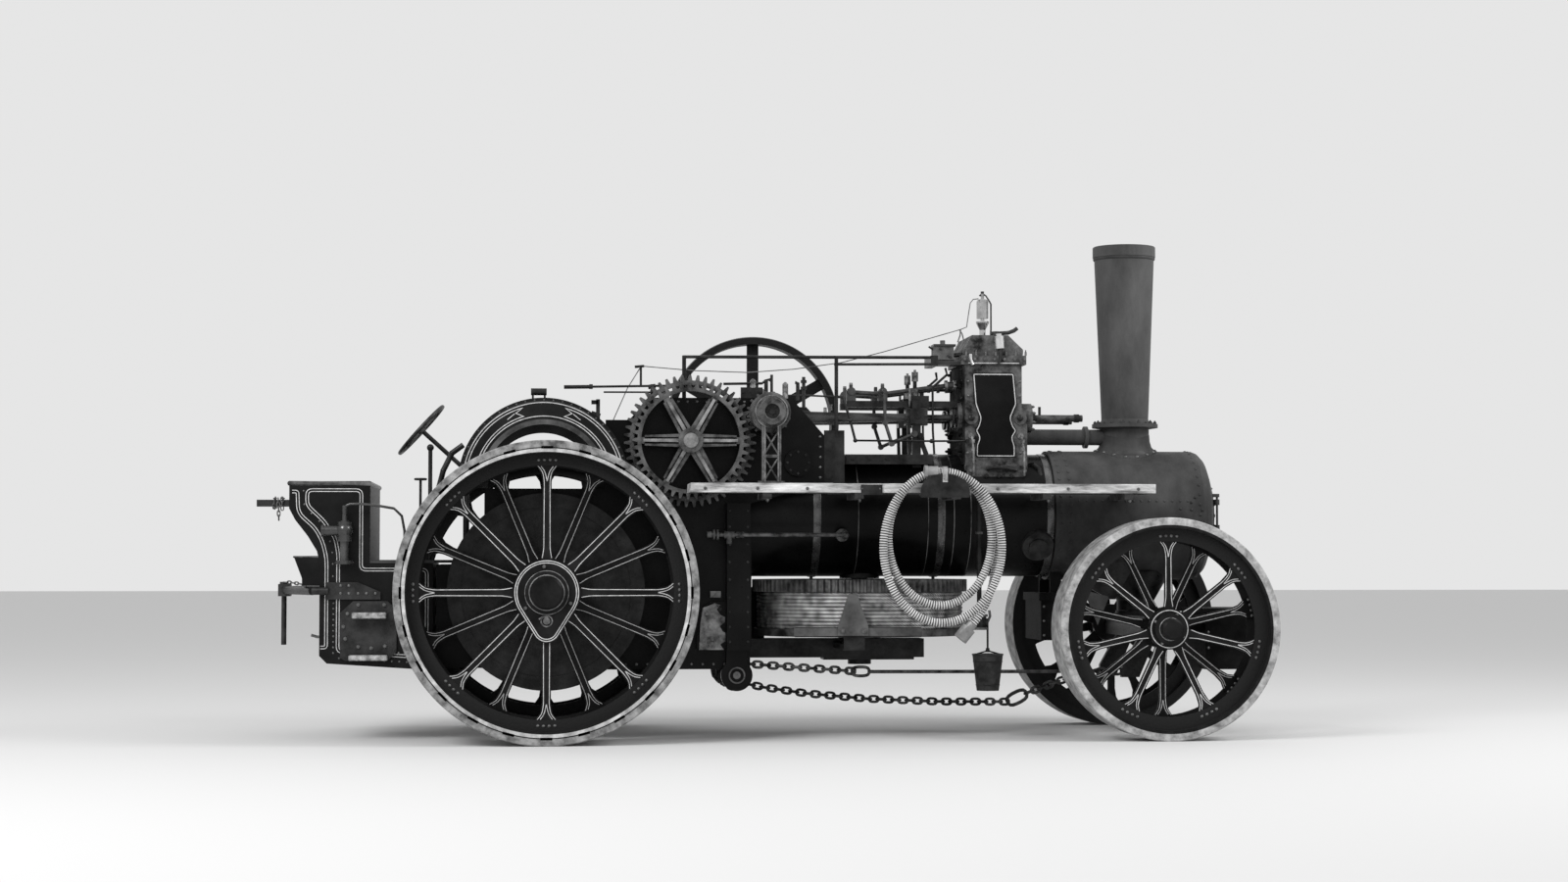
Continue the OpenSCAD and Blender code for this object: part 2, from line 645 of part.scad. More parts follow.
// The two road gears are one casting with six arms each
module road_gears() color("gray") translate([second_x, 0, second_z]) difference() {
    union() {
        side_plate(-slow_y - gear_t, gear_t) difference() {
            polygon(gear_points(slow_teeth, root_of(slow_teeth), tip_of(slow_teeth), mesh_angle));
            circle(root_of(slow_teeth) - 30);
        }
        side_plate(-fast_y - gear_t, gear_t) difference() {
            polygon(gear_points(fast_teeth, root_of(fast_teeth), tip_of(fast_teeth), mesh_angle));
            circle(root_of(fast_teeth) - 26);
        }
        peg_y(0, -fast_y - gear_t - 20, 0, fast_y - slow_y + gear_t + 20, 84);
        for (i = [0 : 5]) rotate([0, -i * 60, 0]) {
            translate([0, -slow_y - gear_t / 2, 0]) block(60, root_of(slow_teeth) - 24, -22, 20, -20, 20);
            translate([0, -fast_y - gear_t / 2, 0]) block(60, root_of(fast_teeth) - 20, -24, 24, -22, 22);
        }
    }
    peg_y(0, -fast_y - gear_t - 40, 0, 300, second_r);
}

// The casing of the upright shaft that turns the drum, and the casting bolted behind it
module upright_casing() color([0.15, 0.15, 0.15]) {
    block(1222, 1382, -horn_out - 134, -horn_out, 600, 1600);
    block(1020, 1223, -horn_out - 60, -horn_out, 608, 700);
    side_plate(-horn_out - 40, 40) polygon([[1020, 699], [1223, 699], [1223, 930], [1120, 930], [1080, 900]]);
    peg_y(1715, -horn_out - 45, 1880, 45, 93);
}

module chain_barrel() color("dimgray") {
    pin_r = 33;
    both_sides() side_plate(-horn_out - 70, 70) difference() {
        union() {
            translate([chain_x, chain_z]) circle(107);
            translate([chain_x - 72, chain_z]) square([144, 600 - chain_z]);
        }
        translate([chain_x, chain_z]) circle(pin_r);
    }
    peg_y(chain_x, -horn_y + 30, chain_z, 2 * horn_y - 60, chain_barrel_r);
    peg_y(chain_x, -horn_out - 60, chain_z, 2 * horn_out + 120, pin_r - run_gap);
}

// The near chain leaves the barrel's top and the far one its underside
module steer_chains() color("gray") {
    near = -360;
    far = 360;
    arm_back = wheelbase - 185;
    near_start = [chain_x + 90, near, chain_z + 62];
    near_end = [arm_back - 0.7, near, 440];
    far_start = [chain_x + 90, far, chain_z - 70];
    far_low = [3300, far, 165];
    bar(near_start, near_end, 17);
    bar(near_start + 0.27 * (near_end - near_start), near_start + 0.33 * (near_end - near_start), 34);
    bar(far_start, far_low, 20);
    translate(far_low) sphere(32);
    bar(far_low, [arm_back - 7, far, 430], 17);
}

// Drum

// The stud hangs from a saddle under the barrel
beam_top = drum_z - 25;
module drum_stud() color([0.15, 0.15, 0.15]) difference() {
    union() {
        peg_z(drum_x, 0, beam_top + 20, boiler_z - barrel_r + 40 - beam_top, stud_r);
        peg_z(drum_x, 0, drum_top + 6, boiler_z - barrel_r + 60 - drum_top, 140);
    }
    boiler_round(drum_x - 300, drum_x + 300, barrel_r + seat_gap);
}

// A beam from the firebox holds the stud's foot, and a flat guide in front of the rope
module drum_beam() color([0.15, 0.15, 0.15]) {
    front = -drum_r - 44;
    block(barrel_x, drum_x + 440, -130, 130, beam_top - 130, beam_top);
    block(drum_x - 265, drum_x + 372, -112, 112, beam_top - 147, beam_top - 100);
    peg_z(drum_x, 0, beam_top - 180, 100, 82);
    peg_z(drum_x, 0, beam_top - 1, 21, 150);
    block(drum_x - 200, drum_x - 60, front + 2, -129, beam_top - 60, beam_top - 20);
    side_plate(front, 14) polygon([[drum_x - 533, drum_z + 5], [drum_x - 201, drum_z + 5], [drum_x - 201, beam_top - 59],
        [drum_x - 59, beam_top - 59], [drum_x - 59, drum_z + 5], [drum_x + 326, drum_z + 5], [drum_x + 326, drum_z + 72],
        [drum_x - 533, drum_z + 72]]);
    side_plate(front - 12, 13) polygon([[drum_x - 238, drum_z + 9], [drum_x - 35, drum_z + 9], [drum_x - 122, 986], [drum_x - 170, 986]]);
}

ring_t = 85;
flange_t = 50;
core_r = drum_r - 196;
module winding_drum() color([0.2, 0.2, 0.2]) translate([drum_x, 0, 0]) {
    ring_z = drum_top - ring_t;
    difference() {
        union() {
            translate([0, 0, ring_z]) linear_extrude(ring_t) difference() {
                polygon(gear_points(drum_teeth, drum_r - 22, drum_r, 0));
                circle(drum_r - 60);
            }
            rotate_extrude() polygon([[stud_r + 40, drum_z], [drum_r - 12, drum_z], [drum_r - 12, drum_z + flange_t], [core_r, drum_z + flange_t],
                [core_r, ring_z], [drum_r - 59, ring_z], [drum_r - 59, ring_z + 40], [stud_r + 40, ring_z + 40],
                [stud_r + 40, ring_z + 10], [core_r - 40, ring_z + 10], [core_r - 40, drum_z + 40], [stud_r + 40, drum_z + 40]]);
            translate([0, 0, drum_z]) cylinder(r = stud_r + 50, h = drum_top - drum_z);
        }
        translate([0, 0, drum_z - 1]) cylinder(r = stud_r + run_gap, h = 500);
    }
}

rope_wraps = 10;
module drum_rope() color("silver") translate([drum_x, 0, 0]) {
    low = drum_z + flange_t;
    pitch = (drum_top - ring_t - low) / rope_wraps;
    rotate_extrude() {
        translate([core_r, low]) square([drum_r - 44 - core_r, pitch * rope_wraps]);
        for (i = [0 : rope_wraps - 1]) translate([drum_r - 44, low + (i + 0.5) * pitch]) circle(pitch / 2, $fn = 32);
    }
}

// Front axle

axle_top = front_r + 75;
module perch_bracket() color([0.1, 0.1, 0.1]) difference() {
    union() {
        translate([wheelbase, 0, 0]) rotate_extrude() polygon([[0, axle_top + 35], [130, axle_top + 35],
            [130, axle_top + 100], [250, boiler_z - smokebox_r + 60], [0, boiler_z - smokebox_r + 60]]);
        for (y = [-330, 292]) side_plate(y, 38) polygon([[wheelbase - 420, boiler_z - 320], [wheelbase - 420, 1030],
            [wheelbase - 250, 940], [wheelbase - 215, 940], [wheelbase - 60, boiler_z - 320]]);
    }
    boiler_round(wheelbase - 700, wheelbase + 450, smokebox_r + seat_gap);
    peg_z(wheelbase, 0, axle_top, boiler_z - smokebox_r - axle_top - 60, kingpin_r + run_gap);
}

module under_box() color([0.1, 0.1, 0.1]) difference() {
    back = wheelbase - 735;
    union() {
        block(back, back + 240, -300, 300, 655, 930);
        block(back - 15, back + 255, -315, 315, 930, 985);
        for (y = [-220, 190]) block(back + 80, back + 160, y, y + 30, 984, boiler_z - 300);
    }
    boiler_round(back - 100, back + 400, smokebox_r + seat_gap);
}

module front_axle() color([0.1, 0.1, 0.1]) translate([wheelbase, 0, 0]) {
    inner = front_face - front_w - 45;
    end = front_face + front_cap_len - 50;
    block(-65, 65, -inner, inner, front_r - 75, axle_top);
    peg_y(0, -end, front_r, 2 * end, front_axle_r);
    peg_z(0, 0, axle_top - 1, 31, 140);
    peg_z(0, 0, axle_top - 1, boiler_z - smokebox_r - axle_top - 65, kingpin_r);
    for (y = [-385, 335]) side_plate(y, 50) polygon([[-60, front_r - 74], [60, front_r - 74], [-60, 400], [-185, 400], [-185, 460]]);
}

// The tool box ahead of the axle turns with it
module front_box() color([0.1, 0.1, 0.1]) translate([wheelbase, 0, 0]) {
    block(425, 795, -330, 330, 450, 845);
    block(415, 795, -340, 340, 846, 875);
    block(424, 430, -335, 335, 840, 850);
    for (y = [-250, 200]) block(65, 426, y, y + 50, front_r - 40, front_r + 30);
}

// Platforms

module platform_arm(x, y0, y1) block(x, x + 60, y0, y1, platform_z - platform_t - 40, platform_z - platform_t);

platform_in = 500;
// The hose hangs over a half-round saddle on the platform's edge
saddle_x = 2645;
saddle_r = 165;
saddle_z = hose_top - 201;
module side_platforms() color("tan") {
    low = platform_z - platform_t;
    difference() {
        union() {
            block(platform_x, 1920, -platform_y, -fast_y - gear_t - 20, low, platform_z);
            block(1919, platform_front, -platform_y, -platform_in, low, platform_z);
            platform_arm(1440, -platform_y + 60, -horn_out);
            for (x = [2060, 2720, 3340]) platform_arm(x, -platform_y + 60, -380);
            platform_arm(3900, -platform_y + 60, -380);
            side_plate(-platform_y - 230, 231) difference() {
                translate([saddle_x, saddle_z]) circle(saddle_r);
                translate([saddle_x - saddle_r - 1, saddle_z - saddle_r - 1]) square([2 * saddle_r + 2, saddle_r + 46]);
            }
        }
        boiler_round(1900, 4500, smokebox_r + seat_gap);
    }
    difference() {
        union() {
            block(2250, platform_front, platform_in, platform_y, low, platform_z);
            for (x = [2340, 3100, 3900]) platform_arm(x, 380, platform_y - 60);
        }
        boiler_round(1900, 4500, smokebox_r + seat_gap);
    }
}

// Tender

// The tank, the hollow bunker on it, and a filling trough behind the tank's near corner
module tender() color([0.1, 0.1, 0.1]) {
    floor_z = footplate_z - 20;
    side_plate(-tender_half, 2 * tender_half) polygon([[tank_x, 573], [tank_x + 51, 521], [tank_front, 475],
        [tank_front, floor_z], [tank_x, floor_z]]);
    difference() {
        side_plate(-tender_half, 2 * tender_half) polygon([[tank_x, floor_z - 1], [tank_x - 19, 1274], [tank_x - 79, 1373],
            [tank_x - 165, 1484], [bunker_x, 1560], [bunker_x, bunker_top], [bunker_front, bunker_top], [bunker_front, floor_z - 1]]);
        side_plate(-tender_half + bunker_t, 2 * (tender_half - bunker_t)) polygon([[tank_x + bunker_t, footplate_z],
            [tank_x - 19 + bunker_t, 1278], [tank_x - 79 + bunker_t, 1378], [tank_x - 165 + bunker_t, 1489],
            [bunker_x + bunker_t, 1565], [bunker_x + bunker_t, bunker_top + 10],
            [bunker_front - bunker_t, bunker_top + 10], [bunker_front - bunker_t, footplate_z]]);
    }
    side_plate(-tender_half + 10, 260) polygon([[tank_x - 172, 1235], [tank_x - 5, 1235], [tank_x + 5, 1185],
        [tank_x + 5, 1043], [tank_x - 117, 1043], [tank_x - 118, 1092]]);
}

module footplate() color("dimgray") {
    block(bunker_front, tank_front, -tender_half, tender_half, footplate_z - 20, footplate_z);
    block(tank_front, firebox_x, -horn_y, horn_y, footplate_z - 20, footplate_z);
}

guard_x = -20;
guard_z = 1735;
guard_r = 575;
guard_in = 395;
module half_ring(outer, inner) difference() {
    circle(outer);
    circle(inner);
    translate([-outer - 1, -outer - 1]) square([2 * outer + 2, outer + 1]);
}

module wheel_guards() color([0.1, 0.1, 0.1]) both_sides() {
    face = fast_y + gear_t + 3;
    translate([guard_x, 0, guard_z]) {
        side_plate(-face, 12) half_ring(guard_r, guard_in);
        side_plate(-face + 11, face - 11 - horn_out) half_ring(guard_r, guard_r - 12);
    }
}

module rear_drawbars() color("dimgray") {
    difference() {
        block(tow_end, bunker_x, -35, 35, 1583, 1630);
        peg_z(tow_end + 45, 0, 1570, 80, 20);
    }
    both_sides() {
        side_plate(-tender_half - 14, 14) polygon([[tank_x + 48, 950], [-1108, 950], [-1108, 1000], [-1260, 1065], [tank_x + 48, 1065]]);
        bar([tank_x + 60, -tender_half - 30, 1007], [tank_x - 50, -tender_half - 30, 1007], 26);
        bar([tank_x - 45, -tender_half - 30, 1007], [-1790, -50, 1007], 28);
    }
    block(-1835, -1755, -75, 75, 965, 1049);
    peg_z(-1800, 0, 630, 420, 18);
    peg_z(-1800, 0, 1044, 20, 30);
}

module water_lifter() color("gray") {
    y = -tender_half - 60;
    block(-1375, -1320, y, -tender_half, 1385, 1425);
    peg_z(-1347, y, 1340, 130, 46);
    peg_z(-1347, y, 1195, 146, 30);
    peg_z(-1347, y, 1185, 26, 58);
    peg_x(-1500, y, 1410, 154, 34);
    peg_z(-1347, y, 1469, 110, 16);
}

module side_steps() color("dimgray") both_sides() {
    side_plate(-tender_half - 14, 14) polygon([[-1375, 560], [-1375, 860], [-1290, 938], [-1060, 938],
        [-1000, 880], [-1000, 600], [-1060, 538], [-1340, 538]]);
    block(-1290, -1070, -tender_half - 90, -tender_half - 13, 826, 860);
    block(-1310, -1060, -tender_half - 90, -tender_half - 13, 545, 575);
}

// Driver's place

steer_y = 300;
wheel_at = [-878, steer_y, 2132];
post_at = [-560, steer_y, 1845];
module steering_column() color("dimgray") {
    bar(wheel_at, post_at, 16);
    peg_z(post_at.x, steer_y, footplate_z, post_at.z - footplate_z + 18, 22);
    peg_z(post_at.x, steer_y, footplate_z, 16, 60);
}

// A bent rail and a post beside the driver, with a small hand wheel between
module hand_rails() color("dimgray") {
    rail_y = -560;
    post_y = -500;
    bends = [[-562, 1992], [-638, 1936], [-696, 1817], [-722, 1712], [-792, 1450], [-792, footplate_z]];
    for (i = [0 : len(bends) - 2])
        bar([bends[i].x, rail_y, bends[i].y], [bends[i + 1].x, rail_y, bends[i + 1].y], 19);
    for (i = [1 : len(bends) - 2]) translate([bends[i].x, rail_y, bends[i].y]) sphere(20, $fn = 32);
    peg_z(-785, post_y, footplate_z, 755, 14);
    translate([-785, post_y, footplate_z + 760]) sphere(24, $fn = 32);
    peg_z(-850, post_y, footplate_z, 552, 9);
    translate([-850, post_y, footplate_z + 546]) rotate_extrude() translate([36, 0]) circle(8, $fn = 24);
    block(-888, -812, post_y - 5, post_y + 5, footplate_z + 540, footplate_z + 550);
}

module steering_wheel() color("gray") translate(wheel_at) rotate([0, acos((post_at - wheel_at).z / norm(post_at - wheel_at)), 0]) {
    difference() {
        union() {
            rotate_extrude() translate([222, 0]) circle(13, $fn = 32);
            cylinder(r = 34, h = 40, center = true);
        }
        translate([0, 0, -seat_gap]) cylinder(r = 16 + run_gap, h = 60);
    }
    for (i = [0 : 3]) rotate([0, 0, 45 + i * 90]) translate([30, -9, -6]) cube([186, 18, 12]);
}

// Long rods to the cylinders, on two posts. The front post stands on a bracket ahead of the hornplate.
rod_y = -horn_y - horn_t / 2;
module reach_rods() color("dimgray") {
    bar([930, rod_y, cyl_top + 5], [lever_end - 20, rod_y, cyl_top + 12], 11);
    bar([1970, rod_y, cyl_top - 40], [lever_end - 20, rod_y, cyl_top - 34], 9);
    peg_z(936, rod_y, horn_top, cyl_top + 14 - horn_top, 14);
    peg_z(1985, rod_y, 2060, cyl_top + 10 - 2060, 13);
    block(1900, 2040, -horn_out, -horn_y, 1740, 2105);
    block(lever_end - 50, lever_end, rod_y - 16, -182, cyl_top - 45, cyl_top + 25);
    driver_rods();
    drain_rod();
}

// The driver's rods over the hornplate
module driver_rods() {
    bar([116, rod_y, 2393], [300, rod_y, 2396], 13);
    bar([290, rod_y, 2396], [930, rod_y, 2408], 8);
    bar([386, rod_y, 2360], [730, rod_y, 2361], 6);
    peg_z(715, rod_y, horn_top, 92, 8);
    peg_z(640, rod_y, 2396, 146, 8);
    bar([598, rod_y, 2534], [662, rod_y, 2540], 9);
}

// The drain rod runs from the front post to the cylinders' near side
module drain_rod() {
    wrist = [2081, rod_y, 2174];
    elbow = [2116, rod_y, 2036];
    bend = [2645, rod_y, 2034];
    bar([1990, rod_y, 2336], [2030, rod_y, 2336], 10);
    bar([2028, rod_y, 2342], wrist, 9);
    bar(wrist, elbow, 9);
    bar(elbow, bend, 7);
    bar(bend, [2900, -cyl_half - 30, 2042], 7);
    bar([2898, -cyl_half - 30, 2042], [2925, -cyl_half - 30, 2042], 9);
    peg_y(2920, -cyl_half - 45, 2042, 45, 14);
    for (joint = [wrist, elbow, bend]) translate(joint) sphere(15, $fn = 24);
}

// A pipe along the boiler's near side, with a stop valve, that feeds the barrel
module feed_pipe() color("gray") difference() {
    pipe_y = -horn_out - 160;
    turn_x = 2028;
    pipe_z = 1385;
    union() {
        peg_x(1085, pipe_y, pipe_z, turn_x - 1085, 14);
        for (f = [[1085, 30, 22], [1125, 12, 36], [1150, 12, 36], [1200, 70, 24], [1300, 24, 22]])
            peg_x(f[0], pipe_y, pipe_z, f[1], f[2]);
        peg_z(1235, pipe_y, pipe_z - 62, 60, 18);
        block(1285, 1335, pipe_y, -horn_out - 134, pipe_z - 20, pipe_z + 20);
        translate([turn_x, pipe_y, pipe_z]) sphere(24, $fn = 32);
        peg_y(turn_x, pipe_y, pipe_z, -barrel_r + 60 - pipe_y, 18);
        peg_y(turn_x, -barrel_r - 30, pipe_z, 60, 44);
    }
    boiler_round(turn_x - 200, turn_x + 200, barrel_r + seat_gap);
}

// Water lifting valve, with a hook for the bucket

bucket_x = 3012;
bucket_y = -600;
module lift_valve() color("dimgray") {
    low = platform_z - platform_t;
    peg_z(2955, bucket_y, 760, low - 760, 16);
    peg_z(2955, bucket_y, 740, 90, 48);
    peg_x(2900, bucket_y, 785, 112, 30);
    peg_z(bucket_x, bucket_y, 610, 185, 7);
    block(bucket_x - 12, bucket_x + 12, bucket_y - 8, bucket_y + 8, 600, 612);
}

module bucket() color([0.1, 0.1, 0.1]) translate([bucket_x, bucket_y, 0]) {
    difference() {
        rotate_extrude() polygon([[0, 322], [76, 322], [104, 560], [104, 572], [94, 572], [68, 334], [0, 334]]);
    }
    for (s = [-1, 1]) bar([s * 98, 0, 566], [s * 14, 0, 590], 5);
    block(-15, 15, -5, 5, 584, 600 - seat_gap);
}

// Hose

// An egg-shaped turn's outline, moved outward by grow; size holds its half width and half height
function turn_outline(size, grow) = [
    for (a = [0 : 6 : 354])
    let (n = unit([cos(a) / size.x, sin(a) / size.y]))
    [hose_x + size.x * cos(a) + grow * n.x, hose_top - size.y + size.y * sin(a) + grow * n.y]];

function unit(v) = v / norm(v);

module hose_coil() color("lightgray") side_plate(hose_front - hose_r, coil_t) difference() {
    polygon(turn_outline(hose_wide, hose_r));
    polygon(turn_outline(hose_narrow, -hose_r));
}

module hose_tail() color("lightgray") {
    n = len(hose_tail);
    sides = 10;
    points = [for (i = [0 : n - 1])
        let (d = unit(hose_tail[min(i + 1, n - 1)] - hose_tail[max(i - 1, 0)]), u = unit([0, 1, 0] - d * d.y), v = cross(d, u))
        for (k = [0 : sides - 1]) hose_tail[i] + hose_r * (u * cos(k * 360 / sides) + v * sin(k * 360 / sides))];
    walls = [for (i = [0 : n - 2]) for (k = [0 : sides - 1])
        let (a = i * sides + k, b = i * sides + (k + 1) % sides) [a, a + sides, b + sides, b]];
    ends = [[for (k = [0 : sides - 1]) k], [for (k = [sides - 1 : -1 : 0]) (n - 1) * sides + k]];
    polyhedron(points, concat(walls, ends));
}

module hose_coupling() color("darkgray") {
    end = hose_x - 28;
    peg_x(end - 70, hose_front, hose_top, 70, hose_r + 9);
    peg_x(end - 90, hose_front, hose_top, 21, hose_r + 15);
}

module hose_strainer() color("darkgray") {
    tip = hose_tail[len(hose_tail) - 1];
    d = unit(tip - hose_tail[len(hose_tail) - 2]);
    bar(tip, tip + d * 40, hose_r + 6);
    bar(tip + d * 39, tip + d * 135, 48);
}

engine() boiler_barrel();
engine() firebox();
engine() ashpan();
engine() smokebox();
engine() smokebox_door();
engine() chimney();
engine() cylinder_block();
engine() whistle();
engine() lubricator();
engine() slide_bars();
engine() connecting_rods();
engine() exhaust_pipe();
engine() valve_gear();
engine() hornplates();
engine() crank_bearings();
engine() shaft_strut();
engine() crankshaft();
engine() crank_pinion();
engine() flywheel();
engine() second_shaft();
engine() road_gears();
engine() upright_casing();
engine() chain_barrel();
engine() steer_chains();
engine() drum_stud();
engine() drum_beam();
engine() winding_drum();
engine() drum_rope();
engine() hind_axle();
engine() perch_bracket();
engine() under_box();
engine() front_axle();
engine() front_box();
engine() side_platforms();
engine() tender();
engine() footplate();
engine() wheel_guards();
engine() rear_drawbars();
engine() water_lifter();
engine() side_steps();
engine() steering_column();
engine() steering_wheel();
engine() hand_rails();
engine() reach_rods();
engine() feed_pipe();
engine() lift_valve();
engine() bucket();
engine() hose_coil();
engine() hose_tail();
engine() hose_coupling();
engine() hose_strainer();
engine() hind_near_rim();
engine() hind_near_centre();
engine() final_gear();
engine() hind_far_rim();
engine() hind_far_centre();
engine() front_near_rim();
engine() front_near_centre();
engine() front_far_rim();
engine() front_far_centre();
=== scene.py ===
import math

import bmesh
import bpy
from mathutils import Matrix, Vector


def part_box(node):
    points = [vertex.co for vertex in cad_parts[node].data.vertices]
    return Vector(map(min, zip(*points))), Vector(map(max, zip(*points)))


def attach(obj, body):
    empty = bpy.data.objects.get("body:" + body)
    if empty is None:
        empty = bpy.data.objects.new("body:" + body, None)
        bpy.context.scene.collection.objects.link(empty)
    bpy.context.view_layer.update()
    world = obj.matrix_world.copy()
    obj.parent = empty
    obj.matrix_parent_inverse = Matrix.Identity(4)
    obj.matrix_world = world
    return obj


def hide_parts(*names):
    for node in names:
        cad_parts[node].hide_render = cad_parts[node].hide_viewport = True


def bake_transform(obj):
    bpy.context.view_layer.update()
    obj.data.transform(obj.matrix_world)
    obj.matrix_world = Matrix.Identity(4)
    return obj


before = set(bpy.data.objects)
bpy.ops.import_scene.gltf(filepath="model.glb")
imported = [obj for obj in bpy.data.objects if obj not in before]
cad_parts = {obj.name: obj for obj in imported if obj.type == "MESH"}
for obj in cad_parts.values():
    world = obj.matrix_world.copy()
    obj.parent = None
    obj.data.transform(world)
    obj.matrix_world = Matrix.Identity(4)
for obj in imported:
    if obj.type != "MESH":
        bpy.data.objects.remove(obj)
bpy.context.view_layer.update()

# Camera
# The photograph was taken low down on the engine's right, some way off, with the lens
# turned a little forward and tilted a little up.
eye = Vector((-1.6075, -19.22, 1.214))
turned_forward = math.radians(5.305)
tilted_up = math.radians(2.484)
view = bpy.data.cameras.new("view")
view.lens = 63.0
view.sensor_width = 36.0
viewer = bpy.data.objects.new("viewer", view)
viewer.location = eye
viewer.rotation_euler = (math.radians(90) + tilted_up, 0, -turned_forward)
bpy.context.collection.objects.link(viewer)
bpy.context.scene.camera = viewer
bpy.context.scene.view_settings.view_transform = "Standard"

# Stage
# A plain pale floor under an even sky, with one broad soft lamp over the camera's left
# shoulder and a weaker one ahead of the chimney.
floor_bm = bmesh.new()
bmesh.ops.create_grid(floor_bm, x_segments=1, y_segments=1, size=90)
floor_mesh = bpy.data.meshes.new("floor")
floor_bm.to_mesh(floor_mesh)
floor_bm.free()
floor = bpy.data.objects.new("floor", floor_mesh)
bpy.context.collection.objects.link(floor)
floor_paint = bpy.data.materials.new("pale_floor")
floor_paint.use_nodes = True
floor_shader = floor_paint.node_tree.nodes["Principled BSDF"]
floor_shader.inputs["Base Color"].default_value = (0.62, 0.62, 0.62, 1)
floor_shader.inputs["Roughness"].default_value = 0.9
floor_mesh.materials.append(floor_paint)

sky = bpy.data.worlds.new("sky")
bpy.context.scene.world = sky
sky.use_nodes = True
sky_light = sky.node_tree.nodes["Background"]
sky_light.inputs["Color"].default_value = (0.93, 0.93, 0.93, 1)
sky_light.inputs["Strength"].default_value = 0.85

lit_spot = Vector((0, 0, 1.2))
for lamp_name, lamp_place, lamp_power, lamp_size in [
    ("left_lamp", (-9.0, -10.0, 11.0), 1500, 6.0),
    ("front_lamp", (10.0, -4.0, 9.0), 700, 5.0),
]:
    lamp = bpy.data.lights.new(lamp_name, "AREA")
    lamp.energy = lamp_power
    lamp.size = lamp_size
    lamp_holder = bpy.data.objects.new(lamp_name, lamp)
    lamp_holder.location = lamp_place
    lamp_holder.rotation_euler = (lit_spot - Vector(lamp_place)).to_track_quat("-Z", "Y").to_euler()
    bpy.context.collection.objects.link(lamp_holder)

# Suction hose
# A ribbed canvas hose hung over a peg in two turns, a wide one outside a narrow one. One
# end is in its coupling at the top, and the other falls behind the turns to the strainer.
axle_low, axle_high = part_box("hind_axle")
axle_x = (axle_low[0] + axle_high[0]) / 2


def at(x, y, z):
    """A place given from the hind axle along the engine, from its middle, and from the ground."""
    return Vector((axle_x + x, y, z))


def piece(name, bm, finish, body="engine", smooth=35):
    """Turns a finished bmesh into one object, which rides on a body if one is named."""
    mesh = bpy.data.meshes.new(name)
    bmesh.ops.recalc_face_normals(bm, faces=bm.faces)
    bm.to_mesh(mesh)
    bm.free()
    mesh.materials.append(finish)
    mesh.shade_smooth()
    mesh.set_sharp_from_angle(angle=math.radians(smooth))
    made = bpy.data.objects.new(name, mesh)
    bpy.context.collection.objects.link(made)
    if body:
        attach(made, body)
    return made


def grey(value):
    """A grey as a colour."""
    return (value, value, value, 1)


def add_node(made, kind, inputs=None, **settings):
    """One more shader node, with its settings and the values of its inputs."""
    new = made.node_tree.nodes.new("ShaderNode" + kind)
    for key, value in settings.items():
        setattr(new, key, value)
    for key, value in (inputs or {}).items():
        new.inputs[key].default_value = value
    return new


def link(made, *rows):
    """Joins an output of one node to an input of another, row by row."""
    for source, out, target, into in rows:
        made.node_tree.links.new(source.outputs[out], target.inputs[into])


def surface(name, dark, light, rough, patch=3.0, grit=60.0, dent=0.15, metal=0.0, sheen=0.16,
            grain=(1, 1, 1)):
    """A surface whose grey wanders between two values in patches, with a fine grit on top."""
    made = bpy.data.materials.new(name)
    made.use_nodes = True
    shader = made.node_tree.nodes["Principled BSDF"]
    shader.inputs["Metallic"].default_value = metal
    shader.inputs["Specular IOR Level"].default_value = sheen
    place = add_node(made, "TexCoord")
    stretch = add_node(made, "VectorMath", {1: grain}, operation="MULTIPLY")
    patches = add_node(made, "TexNoise", {"Scale": patch, "Detail": 8, "Roughness": 0.65})
    gritty = add_node(made, "TexNoise", {"Scale": grit, "Detail": 5})
    spread = add_node(made, "MapRange", {"From Min": 0.36, "From Max": 0.68})
    tone = add_node(made, "Mix", {"A": grey(dark), "B": grey(light)}, data_type="RGBA")
    gloss = add_node(made, "MapRange", {"To Min": rough - 0.13, "To Max": rough + 0.17})
    relief = add_node(made, "Bump", {"Strength": dent, "Distance": 0.004})
    link(made, (place, "Object", stretch, 0), (stretch, "Vector", patches, "Vector"),
         (place, "Object", gritty, "Vector"), (patches, "Fac", spread, "Value"),
         (spread, "Result", tone, "Factor"), (tone, "Result", shader, "Base Color"),
         (gritty, "Fac", gloss, "Value"), (gloss, "Result", shader, "Roughness"),
         (gritty, "Fac", relief, "Height"), (relief, "Normal", shader, "Normal"))
    return made


hose_r = 0.0275
hose_x = 2.612
hose_top = 1.800
hose_front = -1.180
hose_wide = (0.404, 0.501)
hose_narrow = (0.345, 0.444)
turn_apart = 0.062
tail_points = [
    (2.612, -1.056, 1.800), (2.700, -1.045, 1.794), (2.790, -1.033, 1.762), (2.880, -1.027, 1.700),
    (2.950, -1.026, 1.610), (2.990, -1.026, 1.500), (3.004, -1.026, 1.380), (3.002, -1.026, 1.260),
    (2.990, -1.026, 1.140), (2.966, -1.026, 1.020), (2.930, -1.026, 0.920), (2.885, -1.026, 0.845),
    (2.840, -1.026, 0.790),
]
route = []
for degrees in range(-4, 720, 4):
    narrowing = min(max((degrees - 180) / 250, 0), 1)
    narrowing = narrowing * narrowing * (3 - 2 * narrowing)
    half = [wide + (narrow - wide) * narrowing for wide, narrow in zip(hose_wide, hose_narrow)]
    turn = math.radians(degrees)
    route.append(at(hose_x + half[0] * math.sin(turn), hose_front + turn_apart * degrees / 360,
                    hose_top - half[1] * (1 - math.cos(turn))))
tail = [at(*p) for p in tail_points]
